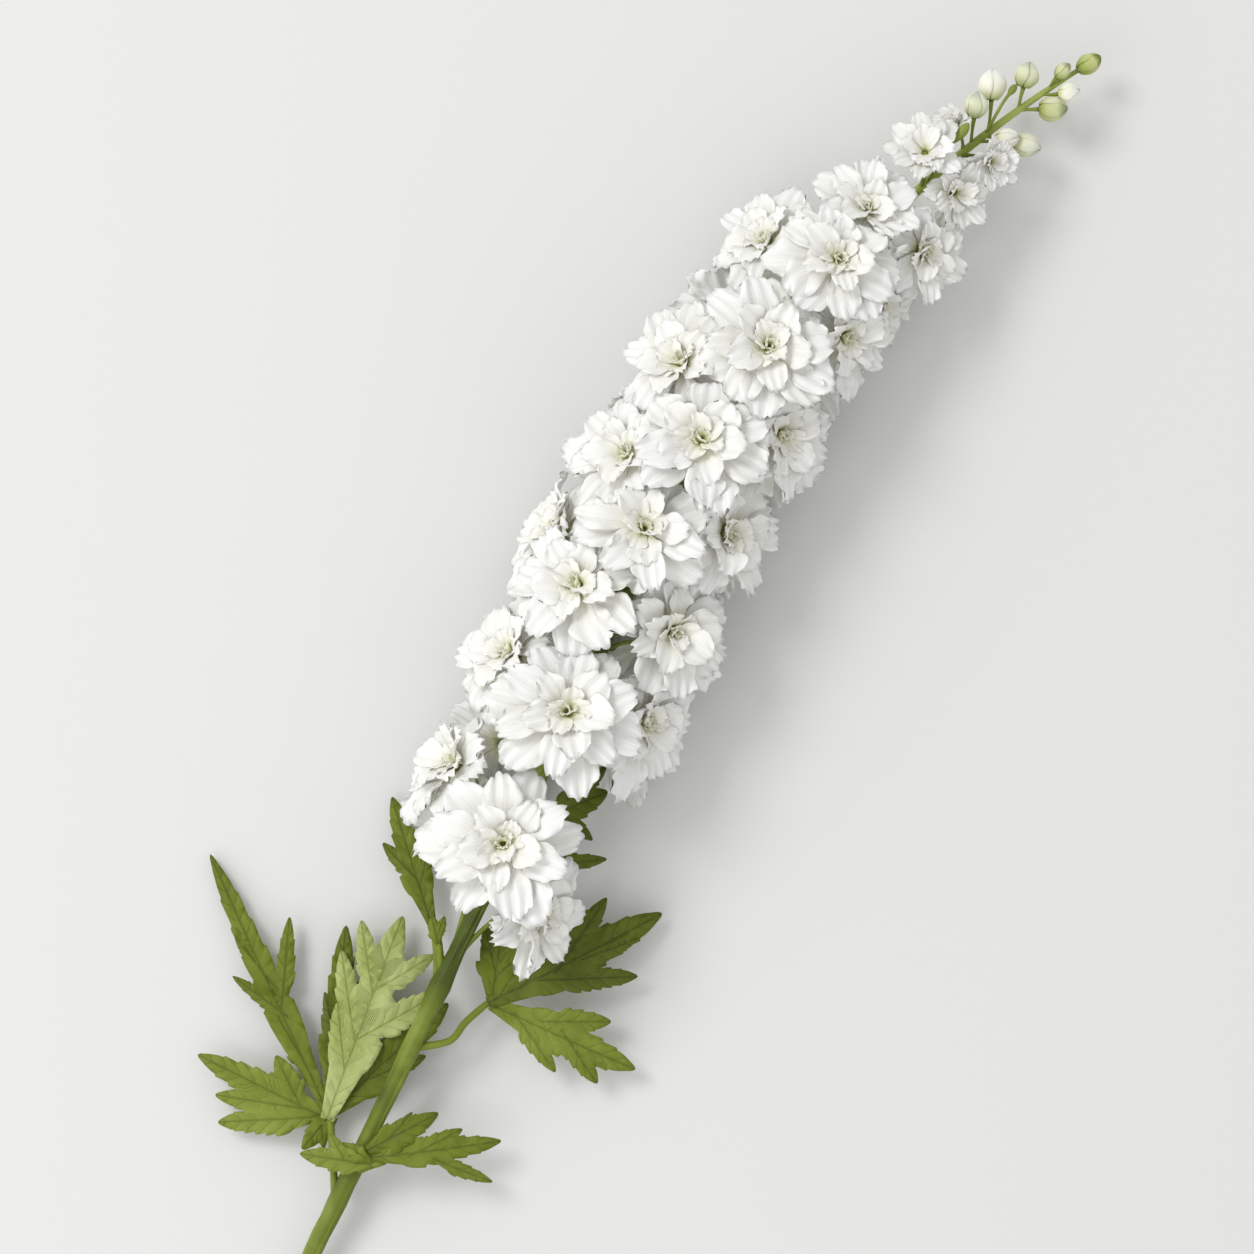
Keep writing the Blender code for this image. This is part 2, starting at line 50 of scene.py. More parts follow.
# The solid's stem has eight flat sides and lies on one of them.
CUT_HEIGHT = CUT_RADIUS * math.cos(math.pi / 8)
STEM_HEIGHTS = (
    (0, CUT_HEIGHT), (REST_LENGTH, CUT_HEIGHT), (90, 10), (180, 22), (270, 31.5),
    (360, 34), (450, 34), (540, 31.5), (630, 27), (STEM_LENGTH, 23),
)
STEM_RADII = ((0, CUT_RADIUS), (400, 3.2), (560, 2.4), (650, 1.7), (STEM_LENGTH, 1.0))


def curve_through(points, along):
    """The value at this distance of a smooth curve through (distance, value) pairs."""
    along = min(max(along, points[0][0]), points[-1][0])
    last = len(points) - 1
    i = 0
    while i < last - 1 and along > points[i + 1][0]:
        i += 1
    (x0, y0), (x1, y1) = points[i], points[i + 1]
    before, after = points[max(i - 1, 0)], points[min(i + 2, last)]
    slope0 = 0.0 if i == 0 else (y1 - before[1]) / (x1 - before[0])
    slope1 = (after[1] - y0) / (after[0] - x0)
    length = x1 - x0
    t = (along - x0) / length
    return (
        y0 * (1 + 2 * t) * (1 - t) ** 2
        + slope0 * length * t * (1 - t) ** 2
        + y1 * t * t * (3 - 2 * t)
        + slope1 * length * t * t * (t - 1)
    )


def stem_point(along):
    turn = max(along - STRAIGHT_LENGTH, 0) / BEND_RADIUS
    x = min(along, STRAIGHT_LENGTH) + BEND_RADIUS * math.sin(turn)
    y = -BEND_RADIUS * (1 - math.cos(turn))
    height = CUT_HEIGHT if along <= REST_LENGTH else curve_through(STEM_HEIGHTS, along)
    return Vector((x, y, height))


def stem_frame(along):
    """Unit vectors along the stem, to its left, and up across it."""
    ahead = (stem_point(along + 1) - stem_point(along - 1)).normalized()
    left = Vector((0, 0, 1)).cross(ahead).normalized()
    return ahead, left, ahead.cross(left)


def outward(along, angle):
    _, left, up = stem_frame(along)
    return up * math.cos(angle) + left * math.sin(angle)


def bezier(start, first, second, end, steps):
    points = []
    for i in range(steps + 1):
        t = i / steps
        a = start * (1 - t) ** 3 + first * 3 * t * (1 - t) ** 2
        points.append(a + second * 3 * t * t * (1 - t) + end * t**3)
    return points


# Blooms stand in rows round the stem, crowded so that each one presses on its neighbours. Each row has
# its throats' distance from the stem as a share of the radius, then each bloom's place along the stem,
# angle round it and outer radius.
BLOOM_ROWS = {
    "front": (1.1, ((294, 3, 31), (353, 2, 31), (401, 34, 30), (433, 9, 29), (475, 4, 31),
                    (521, 2, 30), (567, 4, 27), (591, 18, 22))),
    "left": (1.2, ((312, 85, 27), (364, 68, 28), (417, 88, 29), (456, 45, 28), (497, 48, 28),
                   (556, 68, 25), (625, 26, 17), (645, 60, 10))),
    "right": (0.98, ((273, -63, 25), (362, -67, 29), (401, -49, 29), (447, -57, 29), (496, -52, 28),
                     (546, -45, 27), (568, -85, 22), (597, -55, 23), (624, -38, 17), (645, -45, 14))),
    "back_left": (0.95, ((293, 118, 24), (328, 128, 27), (376, 138, 27), (425, 140, 27),
                         (478, 138, 27), (526, 112, 25), (550, 160, 23), (600, 120, 16))),
    "back_right": (0.95, ((345, -140, 27), (393, -140, 27), (440, -138, 27), (489, -138, 26),
                          (530, -138, 24), (584, -130, 18))),
}
FACE_LEAN = math.radians(8)
BACK_FROM = math.radians(100)
SIDE_FACING = 0.72
BACK_FACING = 0.35
FULL_RADIUS = 30.0
FOOT_DEPTH = 6.0
GOLDEN_TURN = math.radians(137.5)


class Flower:
    """Place and size of one bloom: its throat, the way it faces and its outer radius."""

    def __init__(self, name, number, along, angle, radius, spread):
        self.name = name
        self.along = along
        self.radius = radius
        self.scale = radius / FULL_RADIUS
        angle = math.radians(angle)
        self.out = outward(along, angle)
        self.distance = radius * spread
        self.centre = stem_point(along) + self.out * self.distance
        self.ahead = stem_frame(along)[0]
        size = abs(angle)
        turned = size * SIDE_FACING if size < BACK_FROM else math.pi - (math.pi - size) * BACK_FACING
        face = outward(along, math.copysign(turned, angle))
        self.face = (face * math.cos(FACE_LEAN) + self.ahead * math.sin(FACE_LEAN)).normalized()
        self.foot = self.centre - self.face * FOOT_DEPTH * self.scale
        across = self.face.cross(self.ahead).normalized()
        turn = number * GOLDEN_TURN
        self.first = across * math.cos(turn) + across.cross(self.face) * math.sin(turn)
        self.second = self.face.cross(self.first)


flowers = []
for row, (spread, blooms) in BLOOM_ROWS.items():
    for place, (along, angle, radius) in enumerate(blooms, 1):
        flowers.append(Flower(f"bloom_{row}_{place}", len(flowers), along, angle, radius, spread))

# Closed buds near the tip, the one on the stem's end last. Each has its distance along the stem, offset
# to the left, height over the stem's centre line, length and radius.
BUDS = (
    (667, 15, 2, 13, 5.6), (656, 12, 7, 11, 4.8), (681, 10, 2, 11, 5.0), (658, -7, 5, 10, 4.0),
    (664, -14, 0, 12, 4.8), (682, -8, 2, 12, 5.3), (691, -6, 5, 9, 4.0), (694, 3, 4, 8, 3.0),
    (705.8, 0, 0, 11, 4.2),
)
BUD_SPLAY = 12.0


class Bud:
    """Place, size and heading of one closed bud."""

    def __init__(self, number, along, left, over, length, radius):
        self.name = f"bud_{number}"
        self.length = length
        self.radius = radius
        self.reach = length / 2 + 1
        self.along = along
        ahead, aside, up = stem_frame(along)
        offset = aside * left + up * over
        self.centre = stem_point(along) + offset
        self.face = (ahead + offset / BUD_SPLAY).normalized()
        self.side = self.face.cross(up).normalized()
        self.foot = self.centre - self.face * length / 2


buds = [Bud(number, *bud) for number, bud in enumerate(BUDS, 1)]


# Stem and flower stalks. A fresh green stem, round with faint ribs, a little swollen where a leaf stalk
# leaves it. Each flower hangs on a thin stalk with a narrow bract under it, and all of it is one plant
# tissue, so it is one piece.
STEM_SIDES = 20
STEM_STEPS = 90
STEM_RIBS = 5
RIB_HEIGHT = 0.05
JOINTS = (122, 138, 197, 222, 228, 274, 297)
JOINT_SWELL = 0.22
JOINT_LENGTH = 7.0
# The pale pith shows at the cut end, level with the cut.
PITH_RADIUS = CUT_RADIUS * 0.88
PITH_DEPTH = 0.5
# Bases of leaf and flower stalks run down the stem as strands: where each ends on top, its angle round
# the stem in degrees, its length and its radius.
STRANDS = (
    (124, 80, 60, 1.5), (199, -55, 62, 1.6), (223, 62, 75, 1.4), (229, 30, 45, 1.1), (275, -50, 58, 1.2),
    (298, -15, 70, 1.3), (262, 8, 90, 1.1), (330, 40, 60, 1.2), (360, -30, 60, 1.1), (150, -40, 100, 1.2),
)
STRAND_STEPS = 12
STRAND_TURN = 14
# Unopened green buds on stalks among the top flowers, as distance along the stem, offset to the left,
# height over it, length and radius.
YOUNG_BUDS = ((637, 5, 18, 10, 2.3), (668, 7, 9, 6, 1.6), (630, -6, 15, 6, 1.6))
YOUNG_BUD_GIRTHS = ((0.15, 0.55), (0.35, 0.9), (0.6, 1.0), (0.8, 0.8), (0.95, 0.35), (1.0, 0.1))
YOUNG_STALK_RADIUS = 0.7
YOUNG_STALK_RUN = 16
STALK_RADIUS = 1.15
STALK_DROP = 15.0
STALK_BEND = 0.35
# The two lowest blooms hang on longer stalks that leave the stem well below them.
LONG_STALKS = {"bloom_left_1": 90.0, "bloom_right_1": 44.0}
STALK_SIDES = 8
BUD_STALK_RADIUS = 0.8
FINE_SIDES = 10
CORE_RADIUS = 12.0
BRACT_STEPS = 6
BRACT_LENGTH = 9.0
BRACT_WIDTH = 2.2
# How light the skin of each part is, from 0 to 1.
PITH_TONE = 0.6
RECEPTACLE_TONE = 0.35
BUD_STALK_TONE = 0.3
STALK_TONE = 0.25
BRACT_TONE = 0.2
# The skin's blotches and grain, in millimetres.
SKIN_BLOTCH = 26.3
SKIN_GRAIN = 1.11


def tube(path, radii, sides, ribs=0, rib_height=0.0):
    """Points, faces and distances along of a closed tube. Ribs run along it."""
    points, faces, runs = [], [], []
    up = Vector((0, 0, 1))
    heading = (path[1] - path[0]).normalized()
    left = up.cross(heading)
    left = left.normalized() if left.length > 0.1 else Vector((0, 1, 0))
    run = 0.0
    for i, centre in enumerate(path):
        ahead = (path[min(i + 1, len(path) - 1)] - path[max(i - 1, 0)]).normalized()
        left = (left - ahead * left.dot(ahead)).normalized()
        over = ahead.cross(left)
        run += (centre - path[max(i - 1, 0)]).length
        for k in range(sides):
            turn = 2 * math.pi * k / sides
            radius = radii[i] * (1 + rib_height * math.cos(ribs * turn))
            points.append(centre + (left * math.cos(turn) + over * math.sin(turn)) * radius)
            runs.append(run)
    faces.append(tuple(reversed(range(sides))))
    faces.append(tuple(range(len(points) - sides, len(points))))
    for i in range(len(path) - 1):
        for k in range(sides):
            near, far, after = i * sides, (i + 1) * sides, (k + 1) % sides
            faces.append((near + k, near + after, far + after, far + k))
    return points, faces, runs


class Shape:
    """Points and faces of several closed shells that make one piece, with values kept for each point."""

    def __init__(self):
        self.points, self.faces, self.values = [], [], {}

    def add(self, points, faces, runs=(), **values):
        """Adds a shell. Each value is one number, one for each point, or a rule for a point's run."""
        first = len(self.points)
        self.points += [Vector(point) for point in points]
        self.faces += [tuple(first + k for k in face) for face in faces]
        for name, value in values.items():
            if callable(value):
                value = [value(run) for run in runs]
            elif not isinstance(value, list):
                value = [value] * len(points)
            column = self.values.setdefault(name, [0.0] * first)
            column += value
        for column in self.values.values():
            column += [0.0] * (len(self.points) - len(column))

    def piece(self, name, material):
        mesh = bpy.data.meshes.new(name)
        mesh.from_pydata([(point - ORIGIN) * MM for point in self.points], [], self.faces)
        for value, numbers in self.values.items():
            mesh.attributes.new(value, "FLOAT", "POINT").data.foreach_set("value", numbers)
        mesh.shade_smooth()
        mesh.materials.append(material)
        made = bpy.data.objects.new(name, mesh)
        bpy.context.scene.collection.objects.link(made)
        return made


def keep(piece, node):
    """Fixes a finished piece to the part, in place of one CAD node."""
    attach(piece, "root")
    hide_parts(node)


def colour(code):
    """An sRGB hex code as the linear colour that a socket holds."""
    channels = [int(code[i : i + 2], 16) / 255 for i in (0, 2, 4)]
    return [c / 12.92 if c <= 0.04045 else ((c + 0.055) / 1.055) ** 2.4 for c in channels] + [1.0]


def feed(node, inputs):
    """Links each input that is given a socket or a node, and sets the others.

    The inputs are given by name or number, or as a tuple in the sockets' own order.
    """
    if not isinstance(inputs, dict):
        inputs = dict(enumerate(inputs))
    for name, value in inputs.items():
        if isinstance(value, bpy.types.Node):
            value = value.outputs[0]
        if isinstance(value, bpy.types.NodeSocket):
            node.id_data.links.new(value, node.inputs[name])
        else:
            node.inputs[name].default_value = value


def add_node(tree, kind, inputs=(), stops=(), **settings):
    """A node with its settings and inputs. Stops are a colour ramp's positions and sRGB hex codes."""
    node = tree.nodes.new(kind)
    for name, value in settings.items():
        setattr(node, name, value)
    feed(node, inputs)
    for k, (position, code) in enumerate(stops):
        bar = node.color_ramp.elements
        element = bar[k] if k < len(bar) else bar.new(position)
        element.position = position
        element.color = colour(code)
    return node


def new_material(name, inputs):
    """A material with one plain shader: the material, the shader and the node tree."""
    material = bpy.data.materials.new(name)
    material.use_nodes = True
    shader = material.node_tree.nodes["Principled BSDF"]
    feed(shader, inputs)
    return material, shader, material.node_tree


def scale_for(size):
    """The scale of a pattern on Object coordinates whose details are this many millimetres wide."""
    return 1 / (size * MM)


def stem_tissue():
    """Fresh stem skin: waxy, satin, yellow-green, darker in blotches, with a fine grain."""
    material, shader, tree = new_material("fresh_stem_skin", {"Roughness": 0.45, "IOR": 1.38})
    place = add_node(tree, "ShaderNodeTexCoord").outputs["Object"]
    blotch, grain = [
        add_node(tree, "ShaderNodeTexNoise", {"Vector": place, "Scale": scale_for(size), "Detail": detail})
        for size, detail in ((SKIN_BLOTCH, 3.0), (SKIN_GRAIN, 2.0))]
    # The tone holds the skin's own lightness and, just below the spike, painted shade.
    tone = add_node(tree, "ShaderNodeAttribute", attribute_name="tone").outputs["Fac"]
    mixed = add_node(tree, "ShaderNodeMath", (blotch, tone), operation="ADD")
    base = add_node(tree, "ShaderNodeValToRGB", (mixed,), stops=(
        (0.35, "445210"), (0.6, "66751F"), (0.85, "8E9D45"), (1.0, "A9B662")))
    bump = add_node(tree, "ShaderNodeBump", {"Height": grain, "Strength": 0.25, "Distance": 0.0002})
    feed(shader, {"Base Color": base, "Normal": bump})
    return material


def skin_tone_and_shade(along):
    """How light the stem's skin is: in bands, darkest just below the spike, where it is partly the skin's
    own darker olive and partly painted shade of the lowest blooms, and lightest at the young tip.
    """
    # The cosine band is darkest some 250 mm along, just below the spike: partly painted shade there.
    return 0.06 + 0.07 * math.cos(along / 80) + 0.52 * (along / STEM_LENGTH) ** 4


def strand(end, angle, length, radius):
    """The base of a stalk, half sunk in the stem and fading out down it."""
    path, radii = [], []
    for i in range(STRAND_STEPS + 1):
        t = i / STRAND_STEPS
        along = end - length * t
        out = outward(along, math.radians(angle + STRAND_TURN * t))
        ending = max(1 - 5 * t, 0)
        sunk = radius * (0.2 + 0.75 * t * t + 0.9 * ending)
        path.append(stem_point(along) + out * (curve_through(STEM_RADII, along) - sunk))
        radii.append(radius * (1 - 0.45 * t) * (1 - 0.3 * ending))
    return tube(path, radii, FINE_SIDES)


def young_bud(along, left, over, length, radius):
    """A club-shaped bud on a thin curved stalk, both as one tube."""
    ahead, aside, up = stem_frame(along)
    foot = stem_point(along) + aside * left + up * over
    start = stem_point(along - YOUNG_STALK_RUN)
    heading = (ahead * 1.2 + aside * left * 0.05 + up * 0.2).normalized()
    path = bezier(start, start.lerp(foot, 0.4) + up * over * 0.3, foot - heading * 5, foot, 8)
    radii = [YOUNG_STALK_RADIUS] * len(path)
    for share, girth in YOUNG_BUD_GIRTHS:
        path.append(foot + heading * length * share)
        radii.append(radius * girth)
    return tube(path, radii, FINE_SIDES)


def joint_swelling(along):
    return 1 + sum(JOINT_SWELL * math.exp(-(((along - joint) / JOINT_LENGTH) ** 2)) for joint in JOINTS)


def stalk_path(flower):
    """From inside the stem below the bloom, out to the bloom's foot and into it."""
    start = stem_point(flower.along - LONG_STALKS.get(flower.name, STALK_DROP) * flower.scale)
    bend = stem_point(flower.along) + flower.out * CORE_RADIUS * flower.scale
    before = flower.foot - flower.face * flower.distance * STALK_BEND
    return bezier(start, bend.lerp(start, STALK_BEND), before, flower.foot, 10)


def bud_stalk_path(bud):
    """From inside the stem's top, up behind the bud and into its foot."""
    start = stem_point(min(bud.along - bud.length, STEM_LENGTH - 10))
    before = bud.foot - bud.face * (bud.foot - start).length * 0.5
    return bezier(start, start.lerp(before, 0.5), before, bud.foot, 8)


def slender(path, radius, ends):
    """A stalk along a path, thickest at its two ends."""
    last = len(path) - 1
    radii = [radius * (ends - 0.5 * math.sin(math.pi * i / last)) for i in range(last + 1)]
    return tube(path, radii, STALK_SIDES)


def receptacle(flower):
    """The swollen end of a stalk, that the petals grow from, as a lathe along the way the bloom faces."""
    steps = ((-FOOT_DEPTH - 1, 0.9), (-FOOT_DEPTH + 1, 1.5), (-3.0, 2.6), (-1.2, 2.7), (0.2, 1.6))
    path = [flower.centre + flower.face * height * flower.scale for height, _ in steps]
    return tube(path, [radius * flower.scale for _, radius in steps], FINE_SIDES)


def bract(flower, start):
    """A narrow pointed leaf under a flower stalk, as a thin folded spindle."""
    heading = (flower.out + flower.ahead * 0.9).normalized()
    up = flower.ahead.cross(flower.out).cross(heading).normalized()
    aside = heading.cross(up).normalized()
    length, width = BRACT_LENGTH * flower.scale, BRACT_WIDTH * flower.scale
    points = []
    for i in range(BRACT_STEPS + 1):
        t = i / BRACT_STEPS
        half = width / 2 * math.sin(math.pi * min(t * 0.92 + 0.08, 1.0)) ** 0.8 + 0.04
        middle = start + heading * length * t + up * length * 0.18 * math.sin(math.pi * t * 0.8)
        points += [middle - aside * half + up * half * 0.5, middle + up * 0.15,
                   middle + aside * half + up * half * 0.5, middle - up * 0.2]
    last = BRACT_STEPS * 4
    faces = [(0, 1, 2, 3), (last + 3, last + 2, last + 1, last)]
    for i in range(BRACT_STEPS):
        for k in range(4):
            near, after = i * 4 + k, i * 4 + (k + 1) % 4
            faces.append((after, after + 4, near + 4, near))
    return points, faces


stem = Shape()
stations = [STEM_LENGTH * i / STEM_STEPS for i in range(STEM_STEPS + 1)]
axis = [stem_point(along) for along in stations]
radii = [curve_through(STEM_RADII, along) * joint_swelling(along) for along in stations]
stem.add(*tube(axis, radii, STEM_SIDES, STEM_RIBS, RIB_HEIGHT), tone=skin_tone_and_shade)
pith = [stem_point(PITH_DEPTH), stem_point(-PITH_DEPTH / 8)]
stem.add(*tube(pith, [PITH_RADIUS] * 2, STEM_SIDES), tone=PITH_TONE)
for place in STRANDS:
    stem.add(*strand(*place), tone=lambda run: skin_tone_and_shade(place[0] - run) + 0.02)
for place in YOUNG_BUDS:
    stem.add(*young_bud(*place), tone=BUD_STALK_TONE)
for flower in flowers:
    path = stalk_path(flower)
    stem.add(*slender(path, STALK_RADIUS * (1 + flower.scale) / 2, 1.35), tone=STALK_TONE)
    stem.add(*receptacle(flower), tone=RECEPTACLE_TONE)
    if flower.name not in LONG_STALKS:
        stem.add(*bract(flower, path[1]), tone=BRACT_TONE)
for bud in buds[:-1]:
    stem.add(*slender(bud_stalk_path(bud), BUD_STALK_RADIUS, 1.3), tone=BUD_STALK_TONE)
keep(stem.piece("stem_and_flower_stalks", stem_tissue()), "stem")


# Leaves. Thin blades cut deep into lobes with forward teeth, sunk along the ribs and waved a little at
# the margins, on thin stalks. Each lobe, with the side lobes on it, is a sheet of its own that lies
# partly over the next.
LEAF_STALK_RADIUS = 1.55
STALK_UNDER = 1.1
BLADE_THICKNESS = 0.4
# The blade's small triangles: their size, how far apart the rows of points between ribs lie, and how far
# these points keep from ribs and margins.
BLADE_STEP = 2.6
ROW_STEP = BLADE_STEP * 0.87
GRID_CLEARANCE = BLADE_STEP * 0.45
ON_RIB = 0.25
OFF_RIB = 0.4
TOUCHING = 1e-3
# Lobes longer than these have five or three teeth on each side, the others two. As shares of its length
# and half width, a lobe has its width at the root, the place of its first tooth, the length that has
# teeth, and how much they narrow to the tip.
LONG_LOBE = 40.0
MIDDLE_LOBE = 22.0
LOBE_ROOT_WIDTH = 0.26
FIRST_TOOTH = 0.42
TOOTHED_LENGTH = 0.52
TEETH_TAPER = 0.55
LEAF_FOLD = 0.14
LEAF_TWIST = 0.06
BLADE_WAVE = 0.7
BLADE_RIPPLE = 0.07
LIFT_RATE = 12
# Side veins leave the rib this far apart and run forward at about 40 degrees.
VEIN_SPACING = 6.5
VEIN_SLOPE = -1.15
# The blade's blotches, the waver of its veins and its grain, in millimetres.
LEAF_BLOTCH = 16.7
VEIN_WAVER = 4.55
LEAF_GRAIN = 0.667
LEAF_SEED = 40
# Each leaf has its foot, the height of its tips, its arch, where its stalk leaves the stem and what it
# passes, then its sheets: how far each is lifted, how pale it is, and its lobes as root, tip and width.
LEAVES = {
    "leaf_lower_left": dict(
        foot=(155, 19, 9), tips=3, arch=3, stem_at=122, route=((140, 10, 12),),
        sheets=(
            (0.0, 0.35, (((0, 0), (77, 93), 14), ((30, 34), (35, 62), 7), ((40, 46), (50, 68), 7),
                         ((31, 37), (68, 51), 9), ((12, 14), (28, 37), 11))),
            (0.7, 0.22, (((0, -1), (75, 28), 16), ((30, 11), (46, 24), 7), ((40, 14), (56, 13), 7))),
            (5.4, 0.9, (((-2, 0), (89, 8), 22), ((34, 4), (65, 25), 12), ((54, 5), (80, 23), 11),
                        ((56, 5), (80, -11), 11), ((34, 3), (68, -21), 14), ((20, 2), (45, 17), 12))),
            (1.2, 0.2, (((-1, 1), (64, -25), 19), ((20, -8), (40, -26), 10))),
            (0.3, 0.55, (((-2, -4), (-1, 61), 16), ((-2, 10), (-13, 47), 13), ((-3, 4), (-23, 41), 14),
                         ((-2, 12), (13, 31), 12))),
            (0.6, 0.4, (((2, -1), (-18, 4), 11), ((-5, 1), (-14, -4), 5))),
        ),
    ),
    "leaf_middle_right": dict(
        foot=(227, -21, 17), tips=9, arch=4, stem_at=197, route=((206, -13, 22), (216, -16, 19)),
        sheets=(
            (0.0, 0.15, (((0, 0), (65, -50), 20), ((24, -20), (61, -26), 12), ((34, -28), (51, -45), 9),
                         ((18, -15), (37, -52), 12), ((12, -10), (46, -18), 11))),
            (-0.6, 0.5, (((0, -1), (1, -68), 18), ((3, -24), (15, -50), 12), ((3, -33), (-11, -56), 11),
                         ((1, -12), (-14, -38), 10))),
            (1.0, 0.25, (((2, -1), (37, 10), 18), ((11, 1), (29, 15), 10), ((13, 1), (34, -8), 11))),
        ),
    ),
    "leaf_lower_right": dict(
        foot=(146, -7, 24), tips=15, arch=4, stem_at=138, route=(),
        sheets=(
            (0.0, 0.4, (((2, 3), (31, -44), 13), ((10, -12), (29, -27), 9), ((13, -22), (14, -48), 7))),
            (0.8, 0.3, (((3, 6), (31, -15), 13), ((12, -1), (27, -5), 5))),
            (0.4, 0.6, (((0, 0), (-9, 30), 12), ((-3, 12), (4, 22), 6))),
            (0.2, 0.5, (((1, 2), (2, 17), 8),)),
        ),
    ),
    "leaf_upper_left": dict(
        foot=(246, 14, 14), tips=4, arch=2, stem_at=222, route=((238, 8, 22),),
        sheets=((0.0, 0.3, (((0, 0), (41, 39), 14), ((15, 15), (22, 34), 8), ((13, 12), (29, 15), 7))),),
    ),
    "leaf_small_left": dict(
        foot=(241, 8, 28), tips=29, arch=1, stem_at=228, route=(),
        sheets=((0.0, 0.4, (((0, 0), (10, 8), 7), ((3, 2), (12, 3), 5))),),
    ),
    "leaf_upper_right": dict(
        foot=(308, -9, 26), tips=24, arch=2, stem_at=297, route=(),
        sheets=((0.0, 0.1, (((0, 0), (21, -19), 15), ((11, -5), (30, -14), 10), ((5, -4), (0, -22), 8))),),
    ),
    "leaf_small_right": dict(
        foot=(288, -14, 22), tips=18, arch=2, stem_at=274, route=(),
        sheets=((0.0, 0.15, (((0, 0), (15, -26), 9), ((6, -8), (18, -10), 6))),),
    ),
}


def bulge(start, end, out, steps):
    """Points after start, up to end, on a curve that swells out to one side."""
    middle = (start[0] * 0.75 + end[0] * 0.25, out)
    found = []
    for i in range(1, steps + 1):
        t = i / steps
        found.append(tuple(start[k] * (1 - t) ** 2 + middle[k] * 2 * t * (1 - t) + end[k] * t * t
                           for k in (0, 1)))
    return found


def lobe_outline(root, tip, width):
    """A narrow root, then rounded teeth that point to the tip."""
    root, tip = Vector(root), Vector(tip)
    ahead = tip - root
    aside = Vector((-ahead.y, ahead.x)).normalized() * width / 2
    teeth = 5 if ahead.length > LONG_LOBE else 3 if ahead.length > MIDDLE_LOBE else 2
    profile = [(0.0, LOBE_ROOT_WIDTH)]
    profile += bulge((0.0, LOBE_ROOT_WIDTH), (0.25, 0.66), 0.34, 4)
    # Each tooth swells out to its point and then drops back.
    for k in range(teeth):
        share = FIRST_TOOTH + TOOTHED_LENGTH * k / teeth
        half = 1 - TEETH_TAPER * (k / teeth) ** 1.4
        profile += bulge(profile[-1], (share, half), half * 0.98, 4)
        profile += [(share + 0.004, half * 0.9), (share + 0.014, half * 0.8)]
    profile += bulge(profile[-1], (0.965, 0.2), profile[-1][1] * 1.05, 5)
    profile += [(0.988, 0.12)]
    right = [root + ahead * share - aside * half for share, half in profile]
    left = [root + ahead * share + aside * half for share, half in reversed(profile)]
    return right + [tip] + left


def inside(spots, outline):
    """Which of the spots, given as rows, lie within a closed outline."""
    crossed = np.zeros(len(spots), bool)
    for start, end in zip(outline, outline[1:] + outline[:1]):
        level = (start.y > spots[:, 1]) != (end.y > spots[:, 1])
        if start.y != end.y:
            across = start.x + (end.x - start.x) * (spots[:, 1] - start.y) / (end.y - start.y)
            crossed ^= level & (spots[:, 0] < across)
    return crossed


def open_edges(triangles):
    """Edges that only one triangle has, each as it runs in that triangle."""
    edges = {edge for a, b, c in triangles for edge in ((a, b), (b, c), (c, a))}
    return sorted((a, b) for a, b in edges if (b, a) not in edges)


def rib_place(point, lobe):
    """Distance along and away from a lobe's rib, left positive, and distance to the rib itself."""
    root, tip = Vector(lobe[0]), Vector(lobe[1])
    ahead = tip - root
    along = (point - root).dot(ahead.normalized())
    away = Vector((-ahead.y, ahead.x)).normalized().dot(point - root)
    share = min(max(along / ahead.length, 0), 1)
    return along, away, (point - root - ahead * share).length


def rib_distance(point, lobes):
    return min(rib_place(point, lobe)[2] for lobe in lobes)


def grid_in(outlines, lobes):
    """Points of an even grid that lie well inside any of the outlines, and off the ribs."""
    corners = np.array([corner[:] for outline in outlines for corner in outline])
    low, high = corners.min(axis=0), corners.max(axis=0)
    found = []
    for row, y in enumerate(np.arange(low[1], high[1], ROW_STEP)):
        shift = BLADE_STEP / 2 * (row % 2)
        found += [(x + shift, y) for x in np.arange(low[0], high[0], BLADE_STEP)]
    spots = np.array(found)
    kept = np.zeros(len(spots), bool)
    for outline in outlines:
        kept |= inside(spots, outline)
    spots = spots[kept]
    apart = np.sqrt(((spots[:, None] - corners[None]) ** 2).sum(axis=2)).min(axis=1)
    spots = spots[apart > GRID_CLEARANCE]
    return [spot for spot in spots if rib_distance(Vector(spot), lobes) > GRID_CLEARANCE]


def between_ribs(sheet, triangles, lobes):
    """Middles of the triangle sides that run from one rib across to another."""
    on_rib = [rib_distance(point, lobes) < ON_RIB for point in sheet]
    sides = {tuple(sorted(side)) for a, b, c in triangles for side in ((a, b), (b, c), (c, a))}
    middles = [(sheet[a] + sheet[b]) / 2 for a, b in sorted(sides) if on_rib[a] and on_rib[b]]
    return [middle for middle in middles if rib_distance(middle, lobes) > OFF_RIB]


